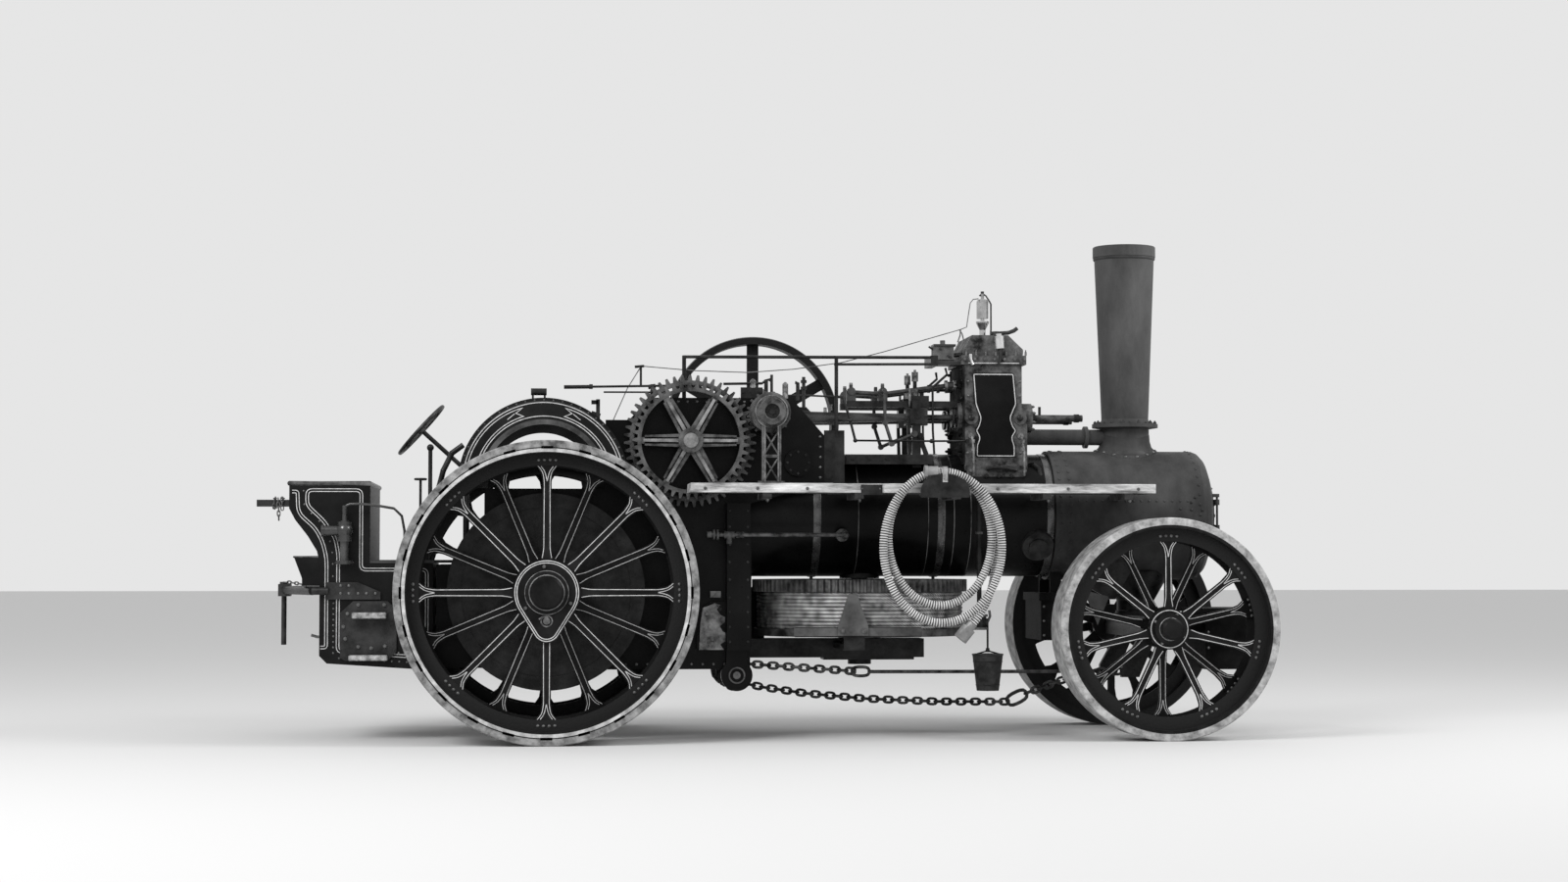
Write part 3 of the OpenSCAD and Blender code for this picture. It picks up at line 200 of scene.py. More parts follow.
for i in range(len(tail) - 1):
    before = tail[max(i - 1, 0)]
    after = tail[min(i + 2, len(tail) - 1)]
    for step in range(4):
        s = step / 4
        a, b = tail[i], tail[i + 1]
        route.append(0.5 * (2 * a + (b - before) * s + (2 * before - 5 * a + 4 * b - after) * s * s
                            + (3 * a - before - 3 * b + after) * s ** 3))
route.append(tail[-1])
hose_length = sum((b - a).length for a, b in zip(route, route[1:]))


def along(points, distance):
    """The place that far along a line of points, and the line's direction there."""
    for a, b in zip(points, points[1:]):
        span = (b - a).length
        if distance <= span:
            return a.lerp(b, distance / span), (b - a) / span
        distance -= span
    return points[-1].copy(), (points[-1] - points[-2]).normalized()


def new_verts(geom):
    """The vertices among what an operator made."""
    return [g for g in geom if isinstance(g, bmesh.types.BMVert)]


rib_apart = 0.017
crown_start, crown_end = 0.25, 0.72
hose_bm = bmesh.new()
ring = bmesh.ops.create_circle(hose_bm, segments=14, radius=1.0)["verts"]
ring_shape = [v.co.copy() for v in ring]
rib_count = int(hose_length / rib_apart)
hose_path = []
for rib in range(rib_count + 1):
    for part, radius in ((0.0, hose_r - 0.005), (crown_start, hose_r), (crown_end, hose_r)):
        spot, ahead = along(route, min((rib + part) * hose_length / rib_count, hose_length - 1e-4))
        if rib == rib_count and part:
            break
        if hose_path:
            edges = [hose_bm.edges.get(pair) for pair in zip(ring, ring[1:] + ring[:1])]
            ring_out = bmesh.ops.extrude_edge_only(hose_bm, edges=edges)["geom"]
            # Crown walls take the pale canvas; every other wall takes the darker one, painted shade in the
            # grooves between the ribs.
            for wall in (g for g in ring_out if isinstance(g, bmesh.types.BMFace)):
                wall.material_index = 0 if part == crown_end else 1
            order = {}
            for v in new_verts(ring_out):
                partner = next(e.other_vert(v) for e in v.link_edges if e.other_vert(v) in ring)
                order[ring.index(partner)] = v
            ring = [order[i] for i in range(len(ring))]
        outward = (Vector((0, 1, 0)) - ahead * ahead.y).normalized()
        across = ahead.cross(outward)
        for v, flat in zip(ring, ring_shape):
            v.co = spot + radius * (outward * flat.x + across * flat.y)
        hose_path.append(spot)
bmesh.ops.holes_fill(hose_bm, edges=hose_bm.edges, sides=20)
canvas = surface("ribbed_canvas", 0.40, 0.78, 0.8, patch=5, grit=220, dent=0.3)
hose = piece("hose", hose_bm, canvas, "engine", smooth=50)
# The walls between the ribs' crowns take this much darker canvas: painted shade in the grooves.
hose.data.materials.append(surface("groove_shade_canvas", 0.05, 0.14, 0.9, patch=5, grit=220))
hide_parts("hose_coil", "hose_tail")
grey_iron = surface("grey_iron", 0.20, 0.42, 0.5, patch=9, grit=90, metal=0.4)
for node in ("hose_coupling", "hose_strainer"):
    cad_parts[node].data.materials.clear()
    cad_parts[node].data.materials.append(grey_iron)

# Hind wheels
# Tall wrought wheels with a rubbed tyre over the strakes' ends. Flat lined spokes run by
# turns to a near and a far ring, and the hub's plate hangs down in a lobe.
near, far = -1, 1
upward = Vector((0, 0, 1))
forward = Vector((1, 0, 0))
backward = Vector((-1, 0, 0))
downward = Vector((0, 0, -1))
line_t = 0.0012
tread_share = 0.9965


def finish_node(names, finish):
    """Gives CAD nodes their finish."""
    for name in names:
        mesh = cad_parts[name].data
        mesh.materials.clear()
        mesh.materials.append(finish)


def ringed(name, centre, reach, bands, rough, dust=0.25, tread_and_shade=None):
    """Paint in rings about a wheel's centre: each band is (share of the reach, grey). Given the tread's grey
    and the outer face's distance, only face and tread are so coloured, and the rest of the rim, in the
    strakes' notches and its inner faces, is painted near-black as painted shade."""
    made = surface(name, 0.0, 1.0, rough, patch=13, grit=60, dent=0.6)
    if tread_and_shade:
        bands = bands + [(tread_share, tread_and_shade[0])]
    nodes = made.node_tree.nodes
    shader = nodes["Principled BSDF"]
    tone = next(n for n in nodes if n.type == "MIX")
    place = next(n for n in nodes if n.type == "TEX_COORD")
    shift = add_node(made, "Mapping", {"Location": -centre})
    flat = add_node(made, "VectorMath", {1: (1 / reach, 0, 1 / reach)}, operation="MULTIPLY")
    away = add_node(made, "VectorMath", operation="LENGTH")
    ramp = add_node(made, "ValToRGB")
    ramp.color_ramp.interpolation = "CONSTANT"
    while len(ramp.color_ramp.elements) < len(bands):
        ramp.color_ramp.elements.new(0.5)
    for element, (share, shade) in zip(ramp.color_ramp.elements, bands):
        element.position = share
        element.color = grey(shade)
    dusty = add_node(made, "Mix", data_type="RGBA", blend_type="SOFT_LIGHT")
    dusty.inputs["Factor"].default_value = dust
    link(made, (place, "Object", shift, "Vector"), (shift, "Vector", flat, 0), (flat, "Vector", away, 0),
         (away, "Value", ramp, "Fac"), (ramp, "Color", dusty, "A"), (tone, "Result", dusty, "B"),
         (dusty, "Result", shader, "Base Color"))
    if tread_and_shade:
        split = add_node(made, "SeparateXYZ")
        aside = add_node(made, "Math", operation="ABSOLUTE")
        on_face = add_node(made, "Math", {1: tread_and_shade[1] - 0.007}, operation="GREATER_THAN")
        on_tread = add_node(made, "Math", {1: tread_share}, operation="GREATER_THAN")
        shown = add_node(made, "Math", operation="MAXIMUM")
        # Everything off the outer face and the tread, in the strakes' notches and the rim's inner faces, is
        # painted near-black: painted shade in those hollows.
        painted_shade = add_node(made, "Mix", {"A": grey(0.012)}, data_type="RGBA")
        link(made, (place, "Object", split, "Vector"), (split, "Y", aside, 0),
             (aside, "Value", on_face, 0), (away, "Value", on_tread, 0), (on_face, "Value", shown, 0),
             (on_tread, "Value", shown, 1), (shown, "Value", painted_shade, "Factor"),
             (dusty, "Result", painted_shade, "B"), (painted_shade, "Result", shader, "Base Color"))
    return made


def turned_to(facing):
    """The turn that points what stands upright another way."""
    return upward.rotation_difference(facing).to_matrix().to_4x4()


def ball(bm, middle, radius, turn=Matrix.Identity(4), around_it=20, rows=12):
    """A ball, or with a turn that squashes it, a dome."""
    bmesh.ops.create_uvsphere(bm, u_segments=around_it, v_segments=rows, radius=radius,
                              matrix=Matrix.Translation(middle) @ turn)


def stub(bm, middle, radius, depth, turn=Matrix.Identity(4), taper=1.0, sides=20):
    """A short round or many-sided bar about its middle, upright unless it is turned."""
    bmesh.ops.create_cone(bm, cap_ends=True, segments=sides, radius1=radius, radius2=radius * taper,
                          depth=depth, matrix=Matrix.Translation(middle) @ turn)


def rivet(bm, spot, facing, radius):
    """One domed rivet head, half sunk in the plate that it holds."""
    ball(bm, spot, radius, turned_to(facing) @ Matrix.Diagonal((1, 1, 0.6, 1)), around_it=8, rows=6)


def bolt(bm, spot, facing, radius, height):
    """A hexagon nut or bolt head standing on a face, with the bolt's end showing."""
    for sides, wide, tall in ((6, radius, height), (10, radius * 0.5, height * 1.5)):
        stub(bm, spot + facing * tall / 2, wide, tall, turned_to(facing), taper=0.92, sides=sides)


def side_rivets(bm, side, y, radius, *spots):
    """Rivets of one size on an upright face, at places (x, z)."""
    for x, z in spots:
        rivet(bm, at(x, side * y, z), Vector((0, side, 0)), radius)


def side_bolts(bm, side, y, radius, height, *spots):
    """Bolts of one size on an upright face, at places (x, z)."""
    for x, z in spots:
        bolt(bm, at(x, side * y, z), Vector((0, side, 0)), radius, height)


def slab(bm, middle, size):
    """A square block about its middle."""
    bmesh.ops.create_cube(bm, size=1, matrix=Matrix.Translation(middle) @ Matrix.Diagonal((*size, 1)))


def plate(bm, corners, into):
    """A flat plate: the corners of one face, and the way from it to the other."""
    face = bm.faces.new([bm.verts.new(c) for c in corners])
    back = bmesh.ops.extrude_face_region(bm, geom=[face])["geom"]
    bmesh.ops.translate(bm, vec=into, verts=new_verts(back))


def join(bm, rows, closed=False, capped=False):
    """Walls between each ring of vertices and the next."""
    for a, b in zip(rows, rows[1:] + rows[:1] if closed else rows[1:]):
        for i in range(len(a)):
            bm.faces.new((a[i - 1], a[i], b[i], b[i - 1]))
    if capped:
        bm.faces.new(rows[0])
        bm.faces.new(rows[-1])


def tube(bm, points, radius, sides=8, closed=False):
    """A round bar or pipe along a line of places."""
    points = [Vector(p) for p in points]
    last = len(points) - 1
    side_way = None
    rings = []
    for i, spot in enumerate(points):
        before = points[i - 1] if closed or i > 0 else spot
        after = points[(i + 1) % len(points)] if closed or i < last else spot
        ahead = (after - before).normalized()
        side_way = ahead.orthogonal() if side_way is None else side_way
        side_way = (side_way - ahead * side_way.dot(ahead)).normalized()
        turn = Matrix((side_way, ahead.cross(side_way), ahead)).transposed().to_4x4()
        rings.append(bmesh.ops.create_circle(bm, segments=sides, radius=radius,
                                             matrix=Matrix.Translation(spot) @ turn)["verts"])
    join(bm, rings, closed, not closed)


def tubes(bm, y, *rows):
    """Bars in one upright plane: each row is a radius, a number of sides and places (x, z)."""
    for radius, sides, *way in rows:
        tube(bm, [at(x, y, z) for x, z in way], radius, sides)


def rounded(points, reach, closed=True, steps=4):
    """The same flat line with its corners rounded off."""
    count = len(points)
    soft = []
    for i, p in enumerate(points):
        here = Vector(p)
        if not closed and i in (0, count - 1):
            soft.append(here)
            continue
        before, after = Vector(points[i - 1]), Vector(points[(i + 1) % count])
        cut = min(reach, (before - here).length * 0.45, (after - here).length * 0.45)
        a = here + (before - here).normalized() * cut
        c = here + (after - here).normalized() * cut
        soft += [a.lerp(here, s / steps).lerp(here.lerp(c, s / steps), s / steps) for s in range(steps + 1)]
    return soft


def stripe(bm, points, width, lay, aside=0.0, closed=True):
    """A thin painted line on a face: lay turns its two flat sizes and its height into a place."""
    flat = [Vector(p) for p in points]
    last = len(flat) - 1
    edges = []
    for i, here in enumerate(flat):
        into = (here - flat[i - 1]).normalized() if closed or i > 0 else None
        onward = (flat[(i + 1) % len(flat)] - here).normalized() if closed or i < last else None
        into, onward = onward if into is None else into, into if onward is None else onward
        normal = Vector((-into.y, into.x))
        mitre = (normal + Vector((-onward.y, onward.x))).normalized()
        mitre /= max(mitre.dot(normal), 0.4)
        edges.append([bm.verts.new(lay(*(here + mitre * (aside + half * width / 2)), lift))
                      for half, lift in ((1, 0), (1, line_t), (-1, line_t), (-1, 0))])
    join(bm, edges, closed, not closed)


def arc(middle, radius, start, end, steps=40):
    """Places on a circle, its angles in degrees from straight up towards the chimney."""
    turns = [math.radians(start + (end - start) * i / max(steps, 1)) for i in range(steps + 1)]
    return [(middle[0] + radius * math.sin(t), middle[1] + radius * math.cos(t)) for t in turns]


def circle(middle, radius, count=48, start=0):
    """Places all round a circle, the first of them at the start angle."""
    return arc(middle, radius, start, start + 360 - 360 / count, count - 1)


def on_side(side, y):
    """Lays a panel's drawing on an upright face that looks out to one side."""
    return lambda u, v, lift: at(u, side * (y + lift), v)


pale_line = surface("pale_line", 0.40, 0.72, 0.5, patch=30, grit=150)
rivet_iron = surface("rivet_iron", 0.02, 0.12, 0.3, patch=40, grit=150, sheen=0.9)
spoke_black = surface("spoke_black", 0.003, 0.014, 0.34, patch=6, grit=60, sheen=0.12)
rubbed_edge = surface("rubbed_edge", 0.08, 0.35, 0.35, patch=20, metal=0.4)


def wheel_trim(name, rim_node, body, side, spokes, ring_in, plate_r, face_depths, half):
    """Flat spoke faces with twin lines that fork at the foot, and four rivets through each foot."""
    low, high = (Vector(c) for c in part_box(rim_node))
    centre = (low + high) / 2
    outer = high.y if side == far else low.y
    bars, lines, rivets = bmesh.new(), bmesh.new(), bmesh.new()
    facing = Vector((0, side, 0))
    edge = [(plate_r - 0.03, 1.3), (plate_r + 0.06, 1.0), (ring_in - 0.11, 0.95), (ring_in - 0.045, 1.3),
            (ring_in + 0.004, 2.35), (ring_in + 0.055, 2.5)]
    line_ways = [[(plate_r + 0.012, 1.0), (plate_r + 0.07, 0.66), (ring_in - 0.10, 0.60),
                  (ring_in - 0.04, 0.95), (ring_in - 0.004, 1.95)],
                 [(ring_in - 0.105, 0.02), (ring_in - 0.070, 0.22), (ring_in - 0.035, 0.55),
                  (ring_in - 0.006, 1.30)]]
    for i in range(spokes):
        angle = math.radians(-90 + 360 * i / spokes)
        out = Vector((math.cos(angle), 0, -math.sin(angle)))
        across = Vector((math.sin(angle), 0, math.cos(angle)))
        face = Vector((centre.x, outer - side * face_depths[i % 2], centre.z))

        def lay(u, v, lift, face=face, out=out, across=across):
            return face + out * u + across * v + facing * (lift + 0.0015)

        outline = [lay(u, v * half, 0) for u, v in edge] + [lay(u, -v * half, 0) for u, v in edge[::-1]]
        plate(bars, outline, -facing * 0.019)
        for way in line_ways:
            for flip in (-1, 1):
                flipped = rounded([(u, v * half * flip) for u, v in way], 0.02, closed=False, steps=2)
                stripe(lines, flipped, 0.0045, lay, closed=False)
        for step in (-0.056, -0.0187, 0.0187, 0.056):
            reach = (ring_in + 0.038) * math.cos(step / ring_in)
            rivet(rivets, lay(reach, step, 0.011 if i % 2 == 0 else 0), facing, 0.0115)
    piece(name + "_spokes", bars, spoke_black, body)
    piece(name + "_lines", lines, pale_line, body)
    piece(name + "_rivets", rivets, rivet_iron, body)
    return centre, (high.z - low.z) / 2, abs(outer)


hind_ring_in = 0.836
hind_plate_r = 0.215
hind_middle = (0, 1.0)
hub_face = 1.131
lobe_down = 0.235
for side_name, side in (("near", near), ("far", far)):
    body = f"hind_{side_name}_wheel"
    centre, radius, outer = wheel_trim("hind_" + side_name, f"hind_{side_name}_rim", body, side, 16,
                                       hind_ring_in, hind_plate_r, (0.112, 0.432), 0.031)
    tyre_bands = [(0.0, 0.006), (0.919, 0.45), (0.9435, 0.012), (0.951, 0.22)]
    finish_node([f"hind_{side_name}_rim"],
                ringed(f"hind_{side_name}_tyre", centre, radius, tyre_bands, 0.6, dust=0.85,
                       tread_and_shade=(0.34, outer)))
    finish_node([f"hind_{side_name}_centre"], spoke_black)
    hub_lines, hub_rings, hub_bolts = bmesh.new(), bmesh.new(), bmesh.new()
    for shrink in (0.011, 0.025):
        big, small = 0.220 - shrink, 0.095 - shrink
        tilt = math.degrees(math.asin((big - small) / lobe_down))
        egg = arc(hind_middle, big, 90 + tilt, -90 - tilt, 48)
        egg += arc((0, 1.0 - lobe_down), small, -90 - tilt, -270 + tilt, 20)
        stripe(hub_lines, egg, 0.006, on_side(side, hub_face))
    for ring_r, ring_y, wire, drop in ((0.114, 1.1680, 0.0045, 0), (0.143, 1.1595, 0.003, 0),
                                       (0.036, 1.1315, 0.005, 0.186)):
        tube(hub_rings, [at(x, side * ring_y, z - drop) for x, z in circle(hind_middle, ring_r)], wire,
             closed=True)
    tube(hub_rings, [at(-0.050, side * 1.137, 0.825), at(-0.026, side * 1.140, 0.842),
                     at(0.010, side * 1.137, 0.846)], 0.007)
    tube(hub_rings, [at(0.0, side * 1.060, 0.814), at(0.0, side * 1.125, 0.814)], 0.024, sides=20)
    for x, z in circle(hind_middle, 0.172, 3, -6):
        bolt(hub_bolts, at(x, side * hub_face, z), Vector((0, side, 0)), 0.013, 0.012)
    piece(f"hind_{side_name}_hub_lines", hub_lines, pale_line, body)
    piece(f"hind_{side_name}_hub_rings", hub_rings, rubbed_edge, body)
    piece(f"hind_{side_name}_hub_bolts", hub_bolts, rivet_iron, body)

# Front wheels
# The same pattern in small, with plain broad tyres, fourteen spokes and a round hub.
front_middle = (4.175, 0.75)
front_face = 1.043
for side_name, side in (("near", near), ("far", far)):
    body = f"front_{side_name}_wheel"
    centre, radius, outer = wheel_trim("front_" + side_name, f"front_{side_name}_rim", body, side, 14,
                                       0.590, 0.138, (0.077, 0.262), 0.028)
    finish_node([f"front_{side_name}_rim"],
                ringed(f"front_{side_name}_tyre", centre, radius, [(0.0, 0.006), (0.930, 0.34)], 0.6,
                       dust=0.85, tread_and_shade=(0.36, outer)))
    finish_node([f"front_{side_name}_centre"], spoke_black)
    hub_lines, hub_bolts = bmesh.new(), bmesh.new()
    stripe(hub_lines, circle(front_middle, 0.126), 0.006, on_side(side, front_face))
    for x, z in circle(front_middle, 0.108, 4, 28):
        bolt(hub_bolts, at(x, side * front_face, z), Vector((0, side, 0)), 0.011, 0.012)
    tube(hub_bolts, [at(x, side * 1.083, z) for x, z in circle(front_middle, 0.075)], 0.004, closed=True)
    piece(f"front_{side_name}_hub_lines", hub_lines, pale_line, body)
    piece(f"front_{side_name}_hub_bolts", hub_bolts, rubbed_edge, body)

# Boiler
# Lagged barrel in black sheet held by three bright-edged belts, and the firebox behind it.
black_gloss = surface("black_gloss", 0.002, 0.009, 0.30, patch=2.2, grit=45, sheen=0.10)
barrel_low, barrel_high = (Vector(c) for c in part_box("boiler_barrel"))
boiler_z = (barrel_low.z + barrel_high.z) / 2
barrel_r = (barrel_high.z - barrel_low.z) / 2
finish_node(["boiler_barrel", "firebox", "ashpan", "upright_casing", "chain_barrel"], black_gloss)


def spun(bm, section, centre, axis, steps):
    """A closed section turned once round an axis."""
    verts = [bm.verts.new(p) for p in section]
    edges = [bm.edges.new(pair) for pair in zip(verts, verts[1:] + verts[:1])]
    bmesh.ops.spin(bm, geom=verts + edges, cent=centre, axis=axis, angle=math.tau, steps=steps,
                   use_merge=True)


def hoop(bm, x, width, thick):
    """A flat belt round the boiler, its edges a little rounded."""
    section = [(-0.5, 0), (-0.5, 0.7), (-0.44, 1), (0.44, 1), (0.5, 0.7), (0.5, 0)]
    spun(bm, [(axle_x + x + u * width, 0, boiler_z + barrel_r - 0.001 + v * thick) for u, v in section],
         (axle_x + x, 0, boiler_z), forward, 72)


belts, bands = bmesh.new(), bmesh.new()
for belt_x in (1.859, 2.724, 3.490):
    hoop(belts, belt_x, 0.052, 0.006)
    bolt(belts, at(belt_x, 0, boiler_z - barrel_r - 0.004), downward, 0.012, 0.014)
for band_x in (2.145, 2.632, 2.812, 2.930):
    hoop(bands, band_x, 0.0045, 0.002)
piece("boiler_lines", bands, surface("faded_line", 0.02, 0.34, 0.5, patch=5, grit=90))
piece("boiler_belts", belts, surface("belt_black", 0.02, 0.10, 0.22, patch=8, grit=80, sheen=0.8))

# Smokebox
# Plain rolled plate left unlagged and burnt to a dull grey, with rows of rivets round both
# ends and a line of them along its seam.
smoke_grey = surface("smoke_grey", 0.026, 0.066, 0.55, patch=3.5, grit=80, dent=0.25, grain=(1, 1, 0.5))
smoke_low, smoke_high = (Vector(c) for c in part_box("smokebox"))
smoke_r = 0.455
finish_node(["smokebox", "smokebox_door"], smoke_grey)


def around(count, offset=0.0, upright=False):
    """Directions spread evenly about a lengthwise or an upright axis."""
    for i in range(count):
        angle = math.tau * (i + offset) / count
        u, v = math.sin(angle), math.cos(angle)
        yield Vector((u, v, 0)) if upright else Vector((0, u, v))


studs = bmesh.new()
for ring_x, count in ((smoke_low.x + 0.035, 44), (smoke_low.x + 0.105, 44), (smoke_high.x - 0.175, 40)):
    for out in around(count):
        rivet(studs, Vector((ring_x, 0, boiler_z)) + out * (smoke_r - 0.001), out, 0.012)
seam_turn = math.radians(78)
seam_out = Vector((0, -math.sin(seam_turn), math.cos(seam_turn)))
seam_start = Vector((smoke_low.x + 0.16, 0, boiler_z)) + seam_out * (smoke_r - 0.001)
for i in range(15):
    rivet(studs, seam_start + forward * 0.055 * i, seam_out, 0.010)
for out in around(28, 0.5):
    rivet(studs, Vector((smoke_high.x - 0.058, 0, boiler_z)) + out * 0.318, forward, 0.011)
piece("smokebox_rivets", studs, smoke_grey)

# Smokebox door furniture
# A ring of small studs near the edge of the dished door.
door_studs = bmesh.new()
door_low = Vector(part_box("smokebox_door")[0])
for out in around(10):
    bolt(door_studs, Vector((door_low.x + 0.0135, 0, boiler_z)) + out * 0.234, forward, 0.010, 0.010)
piece("door_studs", door_studs, rivet_iron, "door")

# Chimney
# A tapered wrought barrel with a beaded cap, on a bolted base that a skirt spreads over
# the smokebox.
chimney_low, chimney_high = (Vector(c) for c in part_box("chimney"))
chimney_x = (chimney_low.x + chimney_high.x) / 2
chimney_grey = surface("chimney_grey", 0.040, 0.095, 0.6, patch=3.0, grit=80, dent=0.25, grain=(1, 1, 0.4))
finish_node(["chimney", "exhaust_pipe"], chimney_grey)
trim = bmesh.new()
flange_z = boiler_z + smoke_r + 0.178
for out in around(12, 0.5, upright=True):
    bolt(trim, Vector((chimney_x, 0, flange_z + 0.016)) + out * 0.212, upward, 0.013, 0.016)
for out in around(16, upright=True):
    rivet(trim, Vector((chimney_x, 0, flange_z + 0.022)) + out * 0.1785, out, 0.012)
bead_z, bead_r = chimney_high.z - 0.086, 0.2125
bead_section = [(-0.004, -0.012), (0.005, -0.009), (0.008, 0), (0.005, 0.009), (-0.004, 0.012)]
spun(trim, [(chimney_x + bead_r + u, 0, bead_z + v) for u, v in bead_section], (chimney_x, 0, bead_z), upward,
     64)
piece("chimney_trim", trim, smoke_grey)


def on_smokebox(out, reach, lift):
    """A place above the smokebox's round top, by its way out from the chimney's middle."""
    x, y = (out * reach).xy
    return Vector((chimney_x + x, y, boiler_z + math.sqrt(smoke_r ** 2 - y ** 2) + lift))


skirt = bmesh.new()
skirt_section = ((0.172, 0.120), (0.176, 0.070), (0.188, 0.030), (0.212, 0.008), (0.226, 0.004),
                 (0.226, -0.004))
join(skirt, [[skirt.verts.new(on_smokebox(out, *step)) for out in around(64, upright=True)]
             for step in skirt_section])
piece("chimney_skirt", skirt, smoke_grey, smooth=50)
foot_bolts = bmesh.new()
for out in around(16, 0.5, upright=True):
    rivet(foot_bolts, on_smokebox(out, 0.212, 0.008), (out * 0.35 + upward).normalized(), 0.013)
piece("chimney_foot_bolts", foot_bolts, rivet_iron)

# Cylinder block
# A weathered grey casting with a black panel on each side, whose pale line bends in round
# the two bosses, and a flange of studs under the sloped valve cover.
finish_node(["cylinder_block"], surface("block_grey", 0.005, 0.15, 0.55, patch=11, grit=70, dent=0.6))
panel_edge = rounded([(2.960, 2.520), (3.256, 2.520), (3.276, 2.300), (3.258, 2.262), (3.234, 2.204),
                      (3.252, 2.150), (3.277, 2.118), (3.245, 2.068), (3.264, 2.010), (3.264, 1.930),
                      (2.984, 1.930), (2.984, 2.010), (3.004, 2.068), (2.976, 2.118), (2.998, 2.150),
                      (3.012, 2.204), (2.990, 2.262), (2.976, 2.300)], 0.018)
cylinder_y, rod_z = 0.190, 2.210
block_y, panel_y, lip_y = 0.300, 0.303, 0.315
panels, block_lines, block_studs = (bmesh.new() for _ in range(3))
for side in (near, far):
    facing = Vector((0, side, 0))
    plate(panels, [at(x, side * panel_y, z) for x, z in panel_edge], -facing * (panel_y - block_y))
    stripe(block_lines, panel_edge, 0.0065, on_side(side, panel_y), aside=-0.010)
    stripe(block_lines, [(2.930, 2.588), (3.290, 2.588)], 0.006, on_side(side, lip_y), closed=False)
    for x in (2.905, 2.975, 3.045, 3.115, 3.185, 3.255, 3.325):
        bolt(block_studs, at(x, side * lip_y, 2.615), facing, 0.013, 0.014)
        bolt(block_studs, at(x + 0.012, side * 0.306, 2.642), upward, 0.0085, 0.026)
    side_bolts(block_studs, side, 0.3405, 0.015, 0.016, (2.94, 1.835), (3.32, 1.835))
    side_rivets(block_studs, side, block_y, 0.010, (2.930, 2.46), (2.930, 2.36), (3.296, 2.46),
                (3.296, 2.36), (2.925, 1.96), (3.300, 1.96))
    for out in around(8, 0.5):
        bolt(block_studs, at(3.3905, side * cylinder_y, rod_z) + out * 0.085, forward, 0.012, 0.016)
piece("cylinder_panels", panels, black_gloss)
piece("cylinder_lines", block_lines, pale_line)
piece("cylinder_studs", block_studs, rivet_iron)

# Whistle and lubricator
# A bright bell whistle with its yoke rod, a bright oil pot on the flange, a black curved
# lever, a dull cast oil box behind, and the sooty fittings on the block's back.
finish_node(["whistle"], surface("whistle_metal", 0.34, 0.62, 0.18, patch=9, grit=40, dent=0.02, metal=0.9))
dull_casting = surface("dull_casting", 0.04, 0.15, 0.5, patch=10, grit=90, metal=0.2, dent=0.3)
finish_node(["lubricator"], dull_casting)
yoke = bmesh.new()
tubes(yoke, 0, (0.0065, 8, (3.062, 3.088), (3.083, 3.105), (3.108, 3.090), (3.128, 3.060), (3.144, 3.030),
                (3.144, 2.850), (3.138, 2.784)),
      (0.012, 12, (3.083, 3.085), (3.083, 3.120)))
tubes(yoke, -0.060, (0.0145, 12, (3.128, 2.812), (3.170, 2.816), (3.256, 2.822), (3.296, 2.836),
                     (3.322, 2.855)),
      (0.031, 20, (3.170, 2.784), (3.170, 2.830)))
tube(yoke, [at(3.150, -0.337, 2.690), at(3.151, -0.337, 2.640), at(3.148, -0.330, 2.600),
            at(3.140, -0.322, 2.578)], 0.010, sides=10)
black_fitting = surface("black_fitting", 0.006, 0.03, 0.35, patch=12, sheen=0.5)
piece("whistle_yoke", yoke, black_fitting)
pot = bmesh.new()
tubes(pot, -0.337, (0.034, 24, (3.150, 2.688), (3.143, 2.775)), (0.020, 20, (3.143, 2.775), (3.142, 2.792)))
tube(pot, [at(2.945, -0.322, 2.650), at(2.945, -0.324, 2.612), at(2.960, -0.324, 2.575)], 0.012, sides=10)
piece("oil_pot", pot, surface("bright_metal", 0.60, 0.82, 0.22, patch=9, grit=40, dent=0.02, metal=0.9))
box_bits = bmesh.new()
slab(box_bits, at(2.782, -0.175, 2.588), (0.236, 0.170, 0.022))
slab(box_bits, at(2.775, -0.175, 2.7165), (0.156, 0.146, 0.015))
side_bolts(box_bits, near, 0.240, 0.010, 0.008, (2.745, 2.690), (2.800, 2.640), (2.815, 2.632))
side_bolts(box_bits, near, 0.230, 0.014, 0.012, (2.670, 2.590), (2.900, 2.590))
tubes(box_bits, -0.175, (0.016, 12, (2.832, 2.650), (2.905, 2.655)),
      (0.007, 8, (2.700, 2.690), (2.672, 2.712)))
piece("oil_box_bits", box_bits, black_fitting)
rear_cover = bmesh.new()
slab(rear_cover, at(2.900, 0, 2.225), (0.014, 0.604, 0.690))
for side in (near, far):
    for z in (2.540, 2.450, 2.330, 2.060, 1.940):
        bolt(rear_cover, at(2.893, side * 0.283, z), backward, 0.013, 0.016)
    for z, reach in ((2.440, 0.030), (2.110, 0.034), (1.990, 0.026)):
        tubes(rear_cover, side * 0.235, (reach, 20, (2.896, z), (2.868, z)))
        bolt(rear_cover, at(2.868, side * 0.235, z), backward, 0.012, 0.014)
piece("block_rear_cover", rear_cover, surface("sooty_iron", 0.004, 0.035, 0.9, patch=12, dent=0.2,
                                              sheen=0.03))

# Motion
# Machined rods and crossheads, bright where they rub and brown with oil elsewhere.
finish_node(["crankshaft", "second_shaft", "hind_axle"],
            surface("rubbed_steel", 0.13, 0.42, 0.34, patch=12, grit=120, metal=0.75))
finish_node(["connecting_rods"],
            surface("rod_steel", 0.008, 0.11, 0.24, patch=10, grit=60, metal=0.5, grain=(0.4, 2, 2)))
oily_black = surface("oily_black", 0.003, 0.030, 0.30, patch=9, grit=70, dent=0.3, sheen=0.2)
finish_node(["slide_bars", "crank_bearings", "reach_rods"], oily_black)
